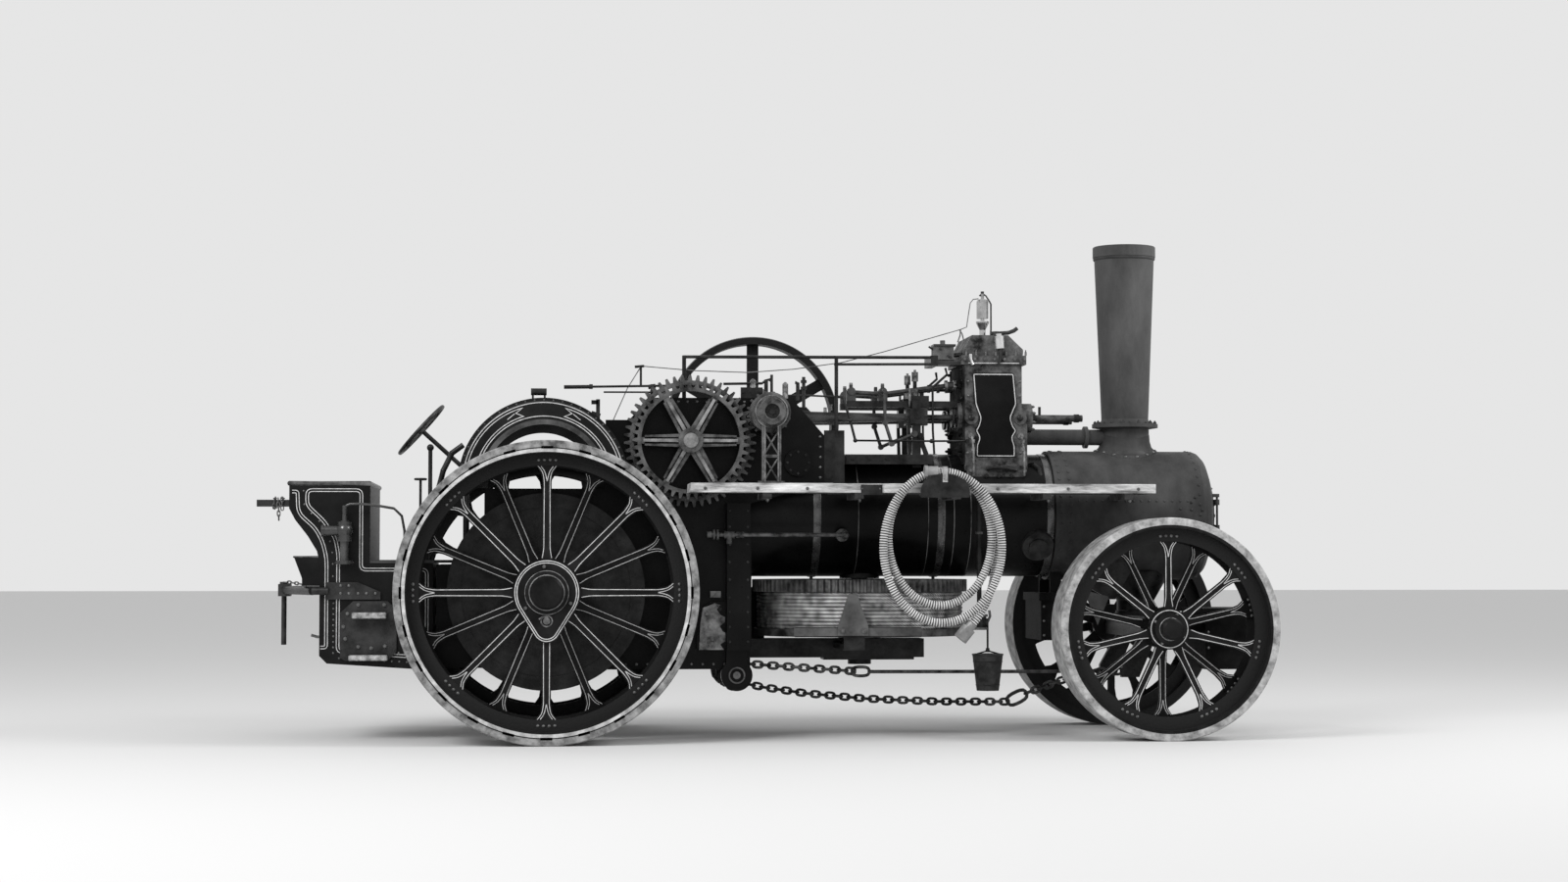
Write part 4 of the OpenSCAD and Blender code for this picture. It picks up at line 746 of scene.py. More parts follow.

# Gears and flywheel
# Cast road gears with greased teeth and a lighter grey on the webs of their arms, a painted
# highlight of their lit edges, a ring over the final gear's teeth, the crankshaft's capped end,
# and a flywheel whose rim is rubbed by its belt.
gear_iron = surface("gear_iron", 0.018, 0.17, 0.42, patch=8, grit=90, metal=0.3, dent=0.5)
finish_node(["road_gears", "crank_pinion"], gear_iron)
road_low, road_high = (Vector(c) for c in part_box("road_gears"))
road_mid = (road_low + road_high) / 2
arms, highlit_arm_webs = bmesh.new(), bmesh.new()
for x, z in circle((0, 0), 1, 6, 90):
    for bm, front, thick, (start, foot), (end, head) in (
            (arms, -0.6365, 0.010, (0.070, 0.045), (0.312, 0.035)),
            (highlit_arm_webs, -0.6480, 0.014, (0.080, 0.012), (0.322, 0.010))):
        edge = ((start, foot), (end, head), (end, -head), (start, -foot))
        plate(bm, [(road_mid.x + x * r - z * half, front, road_mid.z + z * r + x * half) for r, half in edge],
              (0, thick, 0))
piece("road_gear_arms", arms, gear_iron, "second_motion")
# The webs' lighter grey is a painted highlight on the lit edges of the arms.
piece("road_gear_highlight_webs", highlit_arm_webs, surface("web_highlight_iron", 0.08, 0.38, 0.38, patch=9, grit=90, metal=0.4,
                                          dent=0.4),
      "second_motion")
finish_node(["shaft_strut"], surface("strut_grey", 0.02, 0.20, 0.4, patch=14, grit=90, metal=0.3, dent=0.4))
finish_node(["final_gear"], oily_black)
gear_low, gear_high = (Vector(c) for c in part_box("final_gear"))
gear_mid = (gear_low + gear_high) / 2
gear_r = (gear_high.z - gear_low.z) / 2
gear_face = -0.640
shroud = bmesh.new()
shroud_section = ((gear_r - 0.09, 0.001), (gear_r - 0.09, -0.005), (gear_r + 0.002, -0.005),
                  (gear_r + 0.002, 0.006), (gear_r - 0.002, 0.006), (gear_r - 0.002, 0.001))
join(shroud, [[shroud.verts.new((x, gear_face + y, z)) for x, z in circle(gear_mid.xz, ring_r, 96)]
              for ring_r, y in shroud_section], closed=True)
piece("final_gear_shroud", shroud, oily_black, "hind_near_wheel")
crank = (1.510, 2.215)
end_ring = bmesh.new()
end_section = ((0.050, -0.861), (0.054, -0.864), (0.088, -0.864), (0.092, -0.861))
join(end_ring, [[end_ring.verts.new(at(x, y, z)) for x, z in circle(crank, ring_r)] for ring_r,
                y in end_section])
piece("crank_end_ring", end_ring, gear_iron, "crank")
end_core = bmesh.new()
for reach, sides, start, end in ((0.0515, 32, -0.830, -0.838), (0.020, 16, -0.838, -0.856)):
    tube(end_core, [at(crank[0], start, crank[1]), at(crank[0], end, crank[1])], reach, sides=sides)
side_bolts(end_core, near, 0.838, 0.009, 0.010, *circle(crank, 0.036, 3, 30))
piece("crank_end_core", end_core, oily_black, "crank")
strut_edges = bmesh.new()
strut_foot, strut_half = 1.742, 0.044
loop = arc(crank, 0.1095, -156, 156, 32)
loop = [(crank[0] - strut_half, strut_foot)] + loop + [(crank[0] + strut_half, strut_foot)]
stripe(strut_edges, loop, 0.007, on_side(near, 0.805), closed=False)
piece("strut_edges", strut_edges, rubbed_edge)
wheel_low, wheel_high = (Vector(c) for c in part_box("flywheel"))
finish_node(["flywheel"], ringed("flywheel_paint", (wheel_low + wheel_high) / 2,
                                 (wheel_high.z - wheel_low.z) / 2,
                                 [(0.0, 0.006), (0.90, 0.008), (0.985, 0.07)], 0.45))

# Hornplates
# The side plates of the firebox, carried up to hold the shafts, riveted along every edge.
finish_node(["hornplates"], black_gloss)
plate_rivets = bmesh.new()
horn_rows = [(0.70 + 0.065 * i, 2.296) for i in range(15)] + [(1.365, 0.54 + 0.075 * i) for i in range(14)]
horn_rows += [(0.24 + 0.075 * i, 0.505) for i in range(15)] + [(1.872, 1.78 + 0.07 * i) for i in range(5)]
for side in (near, far):
    side_rivets(plate_rivets, side, 0.486, 0.010, *horn_rows)
piece("hornplate_rivets", plate_rivets, rivet_iron)

# Plates beside the drum
# A worn toothed quadrant on the near side of the firebox, a plain plate on the far side
# that fills in behind the drum, and the bolted plates that guide the rope.
quadrant = bmesh.new()
quadrant_edge = [(1.036, 0.604), (1.045, 0.779), (1.064, 0.889), (1.145, 0.921), (1.182, 0.908),
                 (1.156, 0.879),
                 (1.183, 0.840), (1.211, 0.827), (1.212, 0.794), (1.177, 0.764), (1.196, 0.730),
                 (1.215, 0.721),
                 (1.215, 0.662), (1.180, 0.640), (1.205, 0.604)]
plate(quadrant, [at(x, -0.565, z) for x, z in quadrant_edge], (0, 0.081, 0))
side_bolts(quadrant, near, 0.565, 0.016, 0.012, (1.090, 0.850), (1.110, 0.760), (1.125, 0.680))
slab(quadrant, at(1.150, -0.510, 0.980), (0.072, 0.050, 0.044))
piece("worn_quadrant", quadrant, surface("quadrant_grey", 0.05, 0.40, 0.7, patch=11, grit=60, dent=0.8))
back_plate = bmesh.new()
slab(back_plate, at(1.420, 0.4925, 0.800), (0.300, 0.013, 0.440))
piece("far_drum_plate", back_plate, black_gloss)

guide = bmesh.new()
keystone = [(2.027, 0.984), (2.089, 0.984), (2.163, 0.767), (2.163, 0.704), (1.957, 0.704), (1.957, 0.767)]
plate(guide, [at(x, -0.819, z) for x, z in keystone], (0, 0.010, 0))
for start, end in ((1.661, 1.957), (2.163, 2.532)):
    corners = ((start, 0.757), (end, 0.757), (end, 0.702), (start, 0.702))
    plate(guide, [at(x, -0.8025, z) for x, z in corners], (0, 0.0095, 0))
piece("rope_guide_plates", guide, surface("guide_grey", 0.035, 0.13, 0.55, patch=5, grit=70))
guide_bolts = bmesh.new()
side_bolts(guide_bolts, near, 0.819, 0.017, 0.014, (1.987, 0.737), (2.134, 0.737))
barrel_mid = (1.294, 0.430)
tube(guide_bolts, [at(x, -0.5575, z) for x, z in circle(barrel_mid, 0.052, 24)], 0.006, closed=True)
tube(guide_bolts, [at(barrel_mid[0], y, barrel_mid[1]) for y in (-0.550, -0.562)], 0.026, sides=16)
piece("guide_bolts", guide_bolts, rivet_iron)

# Drum
# A cast drum with a toothed ring above, wound full of steel rope whose crowns are rubbed
# bright. The rope's strands are a sine wave that slants as it goes round.
drum_low, drum_high = (Vector(c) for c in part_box("winding_drum"))
finish_node(["drum_stud", "drum_beam"],
            surface("drum_iron", 0.003, 0.035, 0.42, patch=6, grit=80, dent=0.35, metal=0.2))
finish_node(["winding_drum"],
            surface("drum_teeth", 0.010, 0.14, 0.4, patch=10, grit=80, dent=0.4, metal=0.3, sheen=0.5))
rope = surface("wire_rope", 0.14, 0.80, 0.45, patch=14, grit=240, dent=0.4, metal=0.5)
nodes = rope.node_tree.nodes
place = next(n for n in nodes if n.type == "TEX_COORD")
tone = next(n for n in nodes if n.type == "MIX")
centred = add_node(rope, "Mapping", {"Location": -(drum_low + drum_high) / 2})
round_drum = add_node(rope, "TexGradient", gradient_type="RADIAL")
split = add_node(rope, "SeparateXYZ")
slant = add_node(rope, "Math", {1: 1200}, operation="MULTIPLY_ADD")
rise = add_node(rope, "Math", {1: 420}, operation="MULTIPLY")
strand = add_node(rope, "Math", operation="SINE")
shade = add_node(rope, "MapRange", {"From Min": -1, "To Min": 0.35})
darken = add_node(rope, "Mix", data_type="RGBA", blend_type="MULTIPLY")
darken.inputs["Factor"].default_value = 1
link(rope, (place, "Object", centred, "Vector"), (centred, "Vector", round_drum, "Vector"),
     (centred, "Vector", split, "Vector"), (split, "Z", rise, 0), (round_drum, "Fac", slant, 0),
     (rise, "Value", slant, 2), (slant, "Value", strand, 0), (strand, "Value", shade, "Value"),
     (tone, "Result", darken, "A"), (shade, "Result", darken, "B"),
     (darken, "Result", nodes["Principled BSDF"], "Base Color"))
finish_node(["drum_rope"], rope)

# Forecarriage
# The front axle swings on its pin under the smokebox, with a tool box ahead of it and a
# second box hung under the barrel.
finish_node(["front_axle", "perch_bracket"], oily_black)
finish_node(["front_box", "under_box"], surface("box_black", 0.003, 0.014, 0.6, patch=4, grit=60, sheen=0.04))
front_trim, under_trim = bmesh.new(), bmesh.new()
for side in (near, far):
    side_rivets(front_trim, side, 0.330, 0.010, *((x, z) for x in (4.62, 4.945) for z in (0.49, 0.60, 0.71,
                                                                                          0.81)))
    side_rivets(under_trim, side, 0.300, 0.009, *((x, z) for x in (3.460, 3.660) for z in (0.69, 0.79, 0.89)))
piece("front_box_rivets", front_trim, rivet_iron, "front_carriage")
piece("under_box_rivets", under_trim, rivet_iron)

# Platforms
# Planks on iron brackets, their outer edge rubbed and weathered nearly white.
finish_node(["side_platforms", "footplate"],
            surface("plank_top", 0.03, 0.16, 0.75, patch=6, grit=70, dent=0.5, grain=(0.3, 3, 3)))
edging = bmesh.new()
for middle, size in (((2.527, -0.983, 1.695), (3.148, 0.008, 0.062)),
                     ((1.430, -0.9815, 1.7265), (0.954, 0.011, 0.004)),
                     ((3.175, 0.983, 1.695), (1.852, 0.008, 0.062)),
                     ((0.951, -0.8225, 1.695), (0.006, 0.317, 0.062))):
    slab(edging, at(*middle), size)
bmesh.ops.bevel(edging, geom=edging.edges, offset=0.002, segments=1, affect="EDGES")
worn_edge = surface("worn_edge", 0.13, 0.80, 0.8, patch=7, grit=60, dent=0.6, grain=(0.5, 2, 3))
piece("platform_edges", edging, worn_edge)
dark_fittings = bmesh.new()
slab(dark_fittings, at(2.165, -0.992, 1.684), (0.144, 0.012, 0.068))
saddle_edge = rounded([(2.462, 1.628), (2.465, 1.690), (2.489, 1.741), (2.536, 1.772), (2.613, 1.787),
                       (2.698, 1.777), (2.766, 1.742), (2.792, 1.690), (2.794, 1.628)], 0.012)
plate(dark_fittings, [at(x, -1.2135, z) for x, z in saddle_edge], (0, 0.006, 0))
piece("platform_dark_fittings", dark_fittings, oily_black)
brackets = bmesh.new()
side_bolts(brackets, near, 0.987, 0.012, 0.008, *((x, 1.692) for x in (1.05, 1.40, 1.733, 2.10, 2.22, 3.02,
                                                                       3.50, 3.98)))
for x in (1.47, 2.09, 3.37, 3.93):
    bolt(brackets, at(x, -0.95, 1.620), downward, 0.012, 0.012)
piece("platform_fittings", brackets, rivet_iron)

# Tender
# Black plate with twin lines down its profile and round a panel, a rolled bead along the
# top, a row of rivets between the lines, and a bolted cover with two worn treads.
finish_node(["tender"], surface("tender_black", 0.003, 0.012, 0.4, patch=2.5, grit=45, sheen=0.10))
outer_line = rounded([(-1.700, 1.673), (-1.664, 1.673), (-1.659, 1.530), (-1.545, 1.428), (-1.497, 1.341),
                      (-1.468, 1.226), (-1.468, 0.629), (-1.506, 0.629)], 0.05, closed=False)
panel_line = rounded([(-1.600, 1.683), (-1.600, 1.582), (-1.488, 1.476), (-1.411, 1.360), (-1.391, 1.255),
                      (-1.391, 0.600), (-0.800, 0.560), (-0.800, 1.150), (-1.240, 1.150), (-1.240, 1.683)],
                     0.035)
profile_rivets = [(-1.623, 1.678), (-1.618, 1.587), (-1.570, 1.526), (-1.517, 1.474), (-1.478, 1.405),
                  (-1.445, 1.339), (-1.430, 1.264), (-1.426, 1.187), (-1.424, 1.105)]
profile_rivets += [(-1.420, 0.925 - 0.037 * i) for i in range(10)]
profile_rivets += [(-1.380 + 0.05 * i, 0.556 - 0.003 * i) for i in range(12)]
tender_y, cover_y = 0.600, 0.614
tender_lines, tender_rivets = bmesh.new(), bmesh.new()
for side in (near, far):
    for aside in (-0.009, 0.009):
        stripe(tender_lines, outer_line, 0.005, on_side(side, tender_y), aside, closed=False)
        stripe(tender_lines, panel_line, 0.005, on_side(side, tender_y), aside)
    side_rivets(tender_rivets, side, tender_y, 0.0075, *profile_rivets)
    side_rivets(tender_rivets, side, cover_y, 0.011, (-1.372, 0.990), (-1.317, 0.990), (-1.255, 0.990),
                (-1.200, 0.990), (-1.141, 0.990), (-1.372, 1.043), (-1.318, 1.043))
    side_bolts(tender_rivets, side, cover_y, 0.014, 0.011, (-1.255, 0.914), (-1.083, 0.914), (-1.326, 0.855),
               (-1.353, 0.769), (-1.340, 0.687), (-1.253, 0.634), (-1.167, 0.624), (-1.076, 0.638))
    side_rivets(tender_rivets, side, tender_y, 0.009, (-0.985, 0.590), (-0.945, 0.590))
piece("tender_lines", tender_lines, pale_line)
piece("tender_rivets", tender_rivets, rivet_iron)
bead = bmesh.new()
for front, back, low, high, z, wire in ((-1.184, -1.717, -0.598, 0.598, 1.728, 0.017),
                                        (-1.522, -1.686, -0.588, -0.332, 1.235, 0.007)):
    corners = ((front, low), (back, low), (back, high), (front, high))
    tube(bead, [at(x, y, z) for x, y in corners], wire, closed=True)
piece("tender_bead", bead, surface("bead_iron", 0.02, 0.13, 0.35, patch=14, grit=60, sheen=0.5))
treads = bmesh.new()
for side in (near, far):
    slab(treads, at(-1.180, side * 0.652, 0.843), (0.226, 0.084, 0.040))
    slab(treads, at(-1.185, side * 0.652, 0.560), (0.256, 0.084, 0.036))
bmesh.ops.bevel(treads, geom=treads.edges, offset=0.004, segments=2, affect="EDGES")
spout = bmesh.new()
tubes(spout, -0.300, (0.010, 10, (-1.510, 0.690), (-1.550, 0.692), (-1.590, 0.704)))
piece("tank_spout", spout, rivet_iron)
piece("tender_treads", treads, surface("worn_tread", 0.12, 0.60, 0.8, patch=22, grit=90, dent=0.8))
worn_iron = surface("worn_iron", 0.004, 0.040, 0.4, patch=8, grit=80, dent=0.4, sheen=0.3)
finish_node(["side_steps", "rear_drawbars"], worn_iron)

# Drawbar chains
# A short chain slung round the upper bar, and one on the head of the pin below.
def ring_of(middle, along_way, across_way, length, width, steps=12):
    """Places round one oval chain link."""
    spots = []
    for i in range(steps):
        turn = math.tau * (i + 0.5) / steps
        u, v = math.cos(turn), math.sin(turn)
        spots.append(middle + along_way * math.copysign(abs(u) ** 0.8, u) * length / 2
                     + across_way * math.copysign(abs(v) ** 0.6, v) * width / 2)
    return spots


def chain(bm, route, pitch, wire):
    """Links along a route, each turned a quarter round from the last."""
    whole = sum((b - a).length for a, b in zip(route, route[1:]))
    count = max(round(whole / pitch), 1)
    for i in range(count):
        middle, ahead = along(route, (i + 0.5) * whole / count)
        up = (upward - ahead * ahead.z).normalized() if abs(ahead.z) < 0.9 else forward
        across = up if i % 2 else ahead.cross(up).normalized()
        tube(bm, ring_of(middle, ahead, across, pitch + wire * 1.6, wire * 4.2), wire, sides=6, closed=True)


slung = bmesh.new()
for way in (((-1.868, -0.045, 1.632), (-1.868, -0.045, 1.575), (-1.868, 0.045, 1.575), (-1.868, 0.045, 1.637),
             (-1.865, -0.03, 1.640)),
            ((-1.842, -0.044, 1.640), (-1.838, -0.050, 1.575), (-1.836, -0.046, 1.490)),
            ((-1.815, 0.046, 1.640), (-1.815, -0.044, 1.640), (-1.813, -0.047, 1.560)),
            ((-1.800, -0.032, 1.062), (-1.760, -0.060, 1.060), (-1.690, -0.110, 1.052),
             (-1.640, -0.14, 1.04))):
    chain(slung, [at(*p) for p in way], 0.030, 0.0045)
piece("drawbar_chains", slung, surface("chain_iron", 0.03, 0.20, 0.45, patch=20, grit=100, metal=0.4))

# Water lifter
# A cast body with a ball above it, whose pipe bends over to the driver's place.
lifter_black = surface("lifter_black", 0.005, 0.045, 0.22, patch=9, grit=90, sheen=0.8)
finish_node(["water_lifter"], lifter_black)
lifter = bmesh.new()
lifter_x, lifter_y = -1.347, -0.660
ball(lifter, at(lifter_x, lifter_y, 1.412), 0.056)
for z, reach, tall in ((1.462, 0.026, 0.03), (1.345, 0.050, 0.014), (1.196, 0.064, 0.012)):
    stub(lifter, at(lifter_x, lifter_y, z), reach, tall)
stub(lifter, at(-1.492, lifter_y, 1.410), 0.042, 0.016, Matrix.Rotation(math.radians(90), 4, "Y"))
piece("lifter_ball", lifter, lifter_black)
lifter_pipe = bmesh.new()
pipe_way = ((-1.347, -0.66, 1.560), (-1.338, -0.66, 1.576), (-1.314, -0.66, 1.588), (-1.257, -0.66, 1.590),
            (-1.152, -0.656, 1.582), (-1.02, -0.635, 1.560), (-0.970, -0.600, 1.510), (-0.952, -0.580, 1.410),
            (-0.950, -0.578, 1.214))
tube(lifter_pipe, [at(*p) for p in pipe_way], 0.009, sides=10)
piece("lifter_pipe", lifter_pipe, lifter_black, smooth=60)

# Wheel guards
# Arched plates with a riveted outer rim. Twin lines run round them and break into a forked
# flourish on each side of the bare name place at the top.
finish_node(["wheel_guards"], surface("guard_black", 0.004, 0.016, 0.42, patch=3, grit=50, sheen=0.10))
guard_low, guard_high = (Vector(c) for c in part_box("wheel_guards"))
guard_r = (guard_high.x - guard_low.x) / 2
guard_mid = ((guard_low.x + guard_high.x) / 2 - axle_x, guard_high.z - guard_r)
guard_lines, guard_rim = bmesh.new(), bmesh.new()


def guard_arc(inside, start, end, steps=0):
    """An arc on the guard, so far inside its edge."""
    return arc(guard_mid, guard_r - inside, start, end, steps)


for side in (near, far):
    lay = on_side(side, -guard_low.y)
    for inside in (0.032, 0.124):
        stripe(guard_lines, guard_arc(inside, -88, 88, 64), 0.0055, lay, closed=False)
    for way in (-1, 1):
        flourish = guard_arc(0.050, way * 88, way * 16, 24) + guard_arc(0.070, way * 22, way * 22)
        flourish += guard_arc(0.107, way * 17, way * 88, 24)
        stripe(guard_lines, flourish, 0.0055, lay, closed=False)
        stem = guard_arc(0.084, way * 30, way * 30) + guard_arc(0.070, way * 23, way * 23)
        stripe(guard_lines, stem, 0.0055, lay, closed=False)
    side_rivets(guard_rim, side, -guard_low.y, 0.0065, *guard_arc(0.014, -84, 84, 26))
    stripe(guard_rim, guard_arc(0.0245, -89, 89, 64), 0.003, lay, closed=False)
    stripe(guard_rim, arc(guard_mid, 0.412, -89, 89, 64), 0.034, lay, closed=False)
piece("guard_lines", guard_lines, pale_line)
piece("guard_rim", guard_rim, surface("guard_grey", 0.03, 0.11, 0.5, patch=10, grit=80))
guard_fittings = bmesh.new()
top_z = guard_high.z
tubes(guard_fittings, -0.60, (0.007, 8, (-0.095, top_z - 0.008), (-0.095, top_z + 0.035)),
      (0.007, 8, (-0.015, top_z - 0.008), (-0.015, top_z + 0.035)),
      (0.024, 16, (-0.108, top_z + 0.042), (-0.002, top_z + 0.042)),
      (0.016, 12, (0.300, 2.210), (0.360, 2.190)))
slab(guard_fittings, at(0.345, -0.60, 2.235), (0.026, 0.050, 0.135))
slab(guard_fittings, at(0.322, -0.60, 2.283), (0.044, 0.050, 0.026))
piece("guard_fittings", guard_fittings, oily_black)

# Steering chains
# Two chains from the barrel under the firebox. The near one is taut, with a long rod after
# its big link, and the far one hangs slack.
chain_y, link_pitch, link_wire = 0.360, 0.052, 0.0100
steering = bmesh.new()
for side, *way in ((near, (1.372, 0.502), (2.120, 0.448)), (near, (3.560, 0.441), (3.985, 0.440)),
                   (far, (1.330, 0.352), (1.560, 0.306), (1.861, 0.262), (2.300, 0.222), (2.800, 0.200),
                    (3.320, 0.196)), (far, (3.450, 0.255), (3.700, 0.345), (3.978, 0.425))):
    chain(steering, [at(x, side * chain_y, z) for x, z in way], link_pitch, link_wire)
tubes(steering, -chain_y, (0.0125, 10, (2.215, 0.445), (2.260, 0.444), (3.560, 0.441)))
near_link = ring_of(at(2.165, -chain_y, 0.446), forward, upward, 0.120, 0.062, 16)
far_link = ring_of(at(3.385, chain_y, 0.225), Vector((0.9, 0, 0.44)), Vector((-0.44, 0, 0.9)), 0.150, 0.080,
                   16)
tube(steering, near_link, 0.011, closed=True)
tube(steering, far_link, 0.013, closed=True)
for side in (near, far):
    wraps = []
    for degrees in range(0, 1060, 20):
        (x, z), = arc(barrel_mid, 0.0875, degrees, degrees, 0)
        wraps.append(at(x, side * (chain_y - 0.045 * degrees / 360), z))
    chain(steering, wraps, link_pitch, 0.0095)
chain_steel = surface("chain_steel", 0.010, 0.14, 0.4, patch=16, grit=120, metal=0.4)
chains = piece("steering_chains", steering, chain_steel, body=None, smooth=180)
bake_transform(chains)
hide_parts("steer_chains")

# Driver's controls
# The hand wheel, the bent rails, and a taut wire from the post up to the whistle.
finish_node(["steering_wheel"], surface("wheel_iron", 0.005, 0.05, 0.35, patch=20, grit=90, sheen=0.3))
finish_node(["hand_rails", "steering_column"], oily_black)
wires = bmesh.new()
for wire, *way in ((0.0035, (0.640, -0.478, 2.540), (0.998, -0.462, 2.512), (1.376, -0.440, 2.503),
                    (1.699, -0.410, 2.530), (2.030, -0.370, 2.580), (2.338, -0.320, 2.662),
                    (2.616, -0.270, 2.747),
                    (2.895, -0.190, 2.832), (2.942, -0.170, 2.851), (2.961, -0.140, 2.948),
                    (2.980, -0.100, 3.028),
                    (3.008, -0.060, 3.058), (3.050, -0.020, 3.066)),
                   (0.005, (2.888, -0.194, 2.830), (2.906, -0.196, 2.800), (2.918, -0.196, 2.752)),
                   (0.005, (2.896, -0.190, 2.832), (2.893, -0.186, 2.792), (2.876, -0.184, 2.742)),
                   (0.0035, (0.640, -0.478, 2.536), (0.547, -0.478, 2.384), (0.452, -0.478, 2.168))):
    tube(wires, [at(*p) for p in way], wire, sides=6)
piece("control_wires", wires, surface("wire_grey", 0.05, 0.20, 0.5, patch=10))
rail_y = -0.478
controls = bmesh.new()
tubes(controls, rail_y, (0.009, 8, (1.206, 2.421), (1.471, 2.426), (1.490, 2.440)),
      (0.014, 10, (1.500, 2.322), (1.500, 2.448), (1.530, 2.450)), (0.010, 8, (1.538, 2.322), (1.538, 2.486)),
      (0.013, 10, (1.718, 2.310), (1.718, 2.430), (1.700, 2.432)), (0.012, 8, (1.759, 2.255), (1.759, 2.472)),
      (0.021, 12, (1.759, 2.385), (1.759, 2.405)), (0.021, 12, (1.759, 2.430), (1.759, 2.450)),
      (0.0065, 8, (1.640, 2.344), (1.803, 2.344), (1.985, 2.336)),
      (0.016, 12, (0.690, 2.396), (0.740, 2.404)),
      (0.017, 12, (0.288, 2.397), (0.312, 2.397)), (0.017, 12, (0.704, 2.362), (0.728, 2.362)))
slab(controls, at(1.400, rail_y, 2.360), (0.150, 0.030, 0.075))
side_bolts(controls, near, 0.493, 0.013, 0.010, (1.338, 2.366), (1.452, 2.366))
piece("bearing_controls", controls, oily_black)
cups = bmesh.new()
for x, z, tall in ((1.632, 2.322, 0.100), (1.409, 2.395, 0.048)):
    stub(cups, at(x, rail_y, z + tall / 2), 0.020, tall, sides=16)
    stub(cups, at(x, rail_y, z + tall + 0.007), 0.020, 0.014, taper=0.3, sides=16)
piece("oil_cups", cups, surface("cup_brass", 0.05, 0.45, 0.25, patch=16, grit=60, metal=0.6))

# Motion fittings
# Oil cups, glands and bolted caps on the guides, and the small rods between them.
finish_node(["valve_gear"], surface("gear_black", 0.008, 0.07, 0.32, patch=14, grit=90, sheen=0.5))
fittings, brights = bmesh.new(), bmesh.new()
dull_brass = surface("dull_brass", 0.03, 0.40, 0.25, patch=16, grit=60, metal=0.6)
for side in (near, far):
    rod_y = side * cylinder_y
    slab(fittings, at(2.598, rod_y, 2.322), (0.130, 0.110, 0.078))
    slab(fittings, at(2.572, side * 0.292, 2.215), (0.100, 0.024, 0.105))
    tubes(fittings, side * 0.272, (0.022, 4, (2.585, 2.090), (2.640, 1.945)),
          (0.016, 4, (2.514, 2.200), (2.520, 1.945)))
    tube(fittings, [at(2.689, side * 0.240, 2.420), at(2.791, side * 0.240, 2.510),
                    at(2.782, side * 0.225, 2.556)],
         0.009)
    tubes(fittings, side * 0.240, (0.008, 8, (2.689, 2.410), (2.690, 2.120), (2.700, 1.950)))
    tubes(fittings, rod_y, (0.011, 10, (2.668, 2.385), (2.668, 2.440)),
          (0.014, 12, (2.571, 2.412), (2.571, 2.464)),
          (0.068, 20, (2.827, 2.210), (2.843, 2.210)), (0.068, 20, (2.854, 2.210), (2.870, 2.210)),
          (0.040, 16, (3.395, 2.210), (3.420, 2.210)), (0.010, 8, (3.455, 2.225), (3.455, 2.290)),
          (0.030, 12, (3.700, 2.210), (3.735, 2.210)))
    tubes(brights, rod_y, (0.012, 12, (2.120, 2.412), (2.120, 2.452)),
          (0.012, 12, (2.342, 2.408), (2.342, 2.448)),
          (0.012, 12, (1.980, 2.260), (1.980, 2.300)), (0.030, 16, (2.571, 2.360), (2.571, 2.412)),
          (0.023, 16, (2.571, 2.464), (2.571, 2.530)), (0.009, 10, (2.571, 2.530), (2.571, 2.546)),
          (0.034, 16, (2.780, 2.440), (2.800, 2.440)), (0.034, 16, (2.840, 2.440), (2.860, 2.440)))
    tubes(brights, side * 0.250, (0.009, 8, (2.526, 2.285), (2.526, 2.405)))
    for out in around(6, 0.5):
        bolt(fittings, at(2.864, rod_y, rod_z) + out * 0.085, backward, 0.011, 0.014)
    for z in (1.98, 2.08, 2.34, 2.46, 2.54):
        bolt(fittings, at(2.905, side * 0.275, z), backward, 0.013, 0.016)
    side_bolts(fittings, side, 0.304, 0.022, 0.008, (2.572, 2.215))
    side_bolts(fittings, side, 0.286, 0.024, 0.008, (2.598, 2.078))
    side_bolts(fittings, side, 0.440, 0.011, 0.010, (2.10, 1.910), (2.22, 1.910), (2.34, 1.910),
               (2.46, 1.910))
piece("motion_fittings", fittings, oily_black)
piece("motion_brights", brights, dull_brass)

# Cylinder drains
# Two bright pipes bend down the block's side from their cocks, under the panel's bosses,
# and two black ones bend along its foot.
drains, elbows = bmesh.new(), bmesh.new()
for side in (near, far):
    for x, lean in ((2.948, 0.010), (3.295, 0.020)):
        tube(drains, [at(x, side * block_y, 2.078), at(x, side * 0.336, 2.078)], 0.021, sides=12)
        bend = ((x, 0.336, 2.078), (x, 0.352, 2.068), (x + lean * 0.5, 0.356, 2.030),
                (x + lean, 0.358, 1.960),
                (x + lean, 0.358, 1.850), (x + lean, 0.354, 1.800))
        tube(drains, [at(u, side * v, w) for u, v, w in bend], 0.009, sides=10)
        for z in (2.040, 1.985):
            tubes(drains, side * 0.357, (0.015, 10, (x + lean * 0.5, z - 0.012), (x + lean * 0.5, z + 0.012)))
    for x in (2.949, 3.293):
        ball(elbows, at(x, side * 0.309, 2.204), 0.030)
    for reach, *bend in ((0.012, (3.050, 0.352, 1.845), (3.100, 0.362, 1.856), (3.190, 0.362, 1.852),
                          (3.262, 0.352, 1.838)),
                         (0.016, (3.345, 0.250, 1.870), (3.400, 0.270, 1.880), (3.430, 0.300, 1.850),
                          (3.440, 0.320, 1.790))):
        tube(elbows, [at(u, side * v, w) for u, v, w in bend], reach, sides=10)
    side_bolts(elbows, side, 0.340, 0.016, 0.014, (3.050, 1.800), (3.138, 1.800), (3.226, 1.800))
piece("cylinder_drains", drains, dull_brass)
piece("cylinder_elbows", elbows, oily_black)

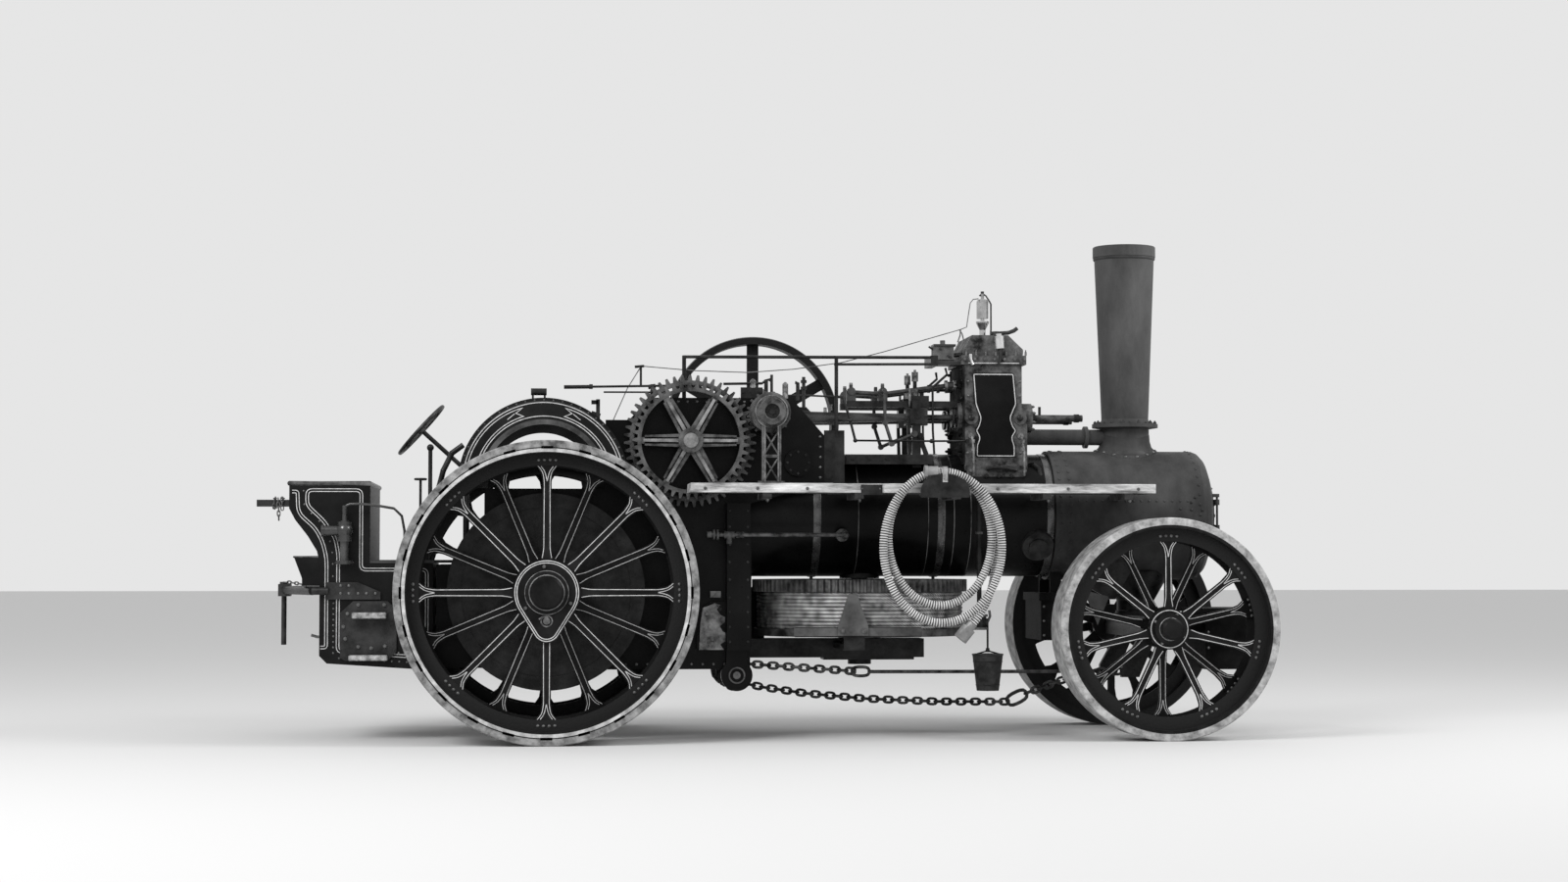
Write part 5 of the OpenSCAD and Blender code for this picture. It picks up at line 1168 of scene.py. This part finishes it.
# Feed pipe and boiler fittings
# The feed pipe with its stop valve, an oval mud door low on the barrel, and the casing's
# bolts.
finish_node(["feed_pipe"], surface("pipe_grey", 0.02, 0.16, 0.4, patch=14, grit=90, metal=0.3))
boiler_bits = bmesh.new()
door_down = math.radians(30)
door_out = Vector((0, -math.cos(door_down), -math.sin(door_down)))
for disc_r, lift in ((0.118, 0.0), (0.070, 0.016)):
    stub(boiler_bits, at(3.405, 0, boiler_z) + door_out * (barrel_r + lift), disc_r, 0.040,
         turned_to(door_out),
         taper=0.93, sides=40)
side_bolts(boiler_bits, near, 0.526, 0.015, 0.014, (1.075, 0.860), (1.095, 0.790), (1.110, 0.720),
           (1.180, 0.880),
           (1.180, 0.730))
side_rivets(boiler_bits, near, 0.620, 0.010,
            *((x, z) for x in (1.240, 1.364) for z in (0.66, 0.76, 0.86, 0.96, 1.08, 1.20, 1.32, 1.44, 1.55)))
side_bolts(boiler_bits, near, 0.531, 0.010, 0.010, *circle((1.715, 1.880), 0.074, 8))
for x, z in ((4.475, 1.614), (4.475, 1.564), (4.553, 1.560), (4.398, 1.571), (4.505, 1.648)):
    side_rivets(boiler_bits, near, math.sqrt(smoke_r ** 2 - (z - boiler_z) ** 2) - 0.001, 0.012, (x, z))
piece("boiler_fittings", boiler_bits, surface("fitting_black", 0.010, 0.05, 0.4, patch=14, grit=90))
pointed = bmesh.new()
pointed_edge = ((3.758, 1.000), (3.908, 0.960), (3.908, 0.945), (3.832, 0.762), (3.758, 0.945))
plate(pointed, [at(x, -0.331, z) for x, z in pointed_edge], (0, -0.012, 0))
piece("pointed_plate", pointed, surface("pointed_grey", 0.05, 0.12, 0.6))

# Bucket and lifting valve
# A riveted bucket with a rolled edge, hung from the valve's hook, and a strap that holds
# the hose on its saddle.
finish_node(["bucket"], surface("bucket_black", 0.010, 0.05, 0.5, patch=12, grit=90))
finish_node(["lift_valve"], oily_black)
bucket_low, bucket_high = (Vector(c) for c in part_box("bucket"))
bucket_mid = (bucket_low + bucket_high) / 2
bucket_foot, bucket_tall, bucket_foot_r, bucket_lean = 0.322, 0.238, 0.0765, 0.028
hoop_low, hoop_high = (bucket_foot_r + (height - bucket_foot) / bucket_tall * bucket_lean
                       for height in (0.360, 0.520))
hoops = bmesh.new()
for height, hoop_r, wire, sides in ((0.568, 0.103, 0.006, 8), (0.360, hoop_low, 0.0035, 6),
                                    (0.520, hoop_high, 0.0035, 6)):
    level = Vector((bucket_mid.x, bucket_mid.y, height))
    tube(hoops, [level + out.yxz * hoop_r for out in around(32, upright=True)], wire, sides=sides,
         closed=True)
piece("bucket_hoops", hoops, worn_iron)
valve_x, valve_y = 2.955, -0.600
valve_bits = bmesh.new()
for z, reach in ((0.835, 0.058), (0.745, 0.058), (1.050, 0.026), (1.400, 0.026)):
    tubes(valve_bits, valve_y, (reach, 20, (valve_x, z - 0.008), (valve_x, z + 0.008)))
tube(valve_bits, [at(2.905, valve_y, 0.785), at(2.860, -0.612, 0.800), at(2.835, -0.640, 0.770)], 0.014,
     sides=10)
tubes(valve_bits, valve_y, (0.009, 8, (3.012, 0.790), (3.030, 0.830), (3.024, 0.870)))
piece("lift_valve_bits", valve_bits, dull_casting)
strap = bmesh.new()
slab(strap, at(2.628, -1.118, 1.8315), (0.034, 0.198, 0.005))
slab(strap, at(2.628, -1.2150, 1.780), (0.034, 0.005, 0.100))
slab(strap, at(2.628, -1.0215, 1.780), (0.034, 0.005, 0.100))
side_bolts(strap, near, 1.2175, 0.010, 0.008, (2.628, 1.752))
piece("hose_strap", strap, surface("strap_grey", 0.10, 0.45, 0.5, patch=20))
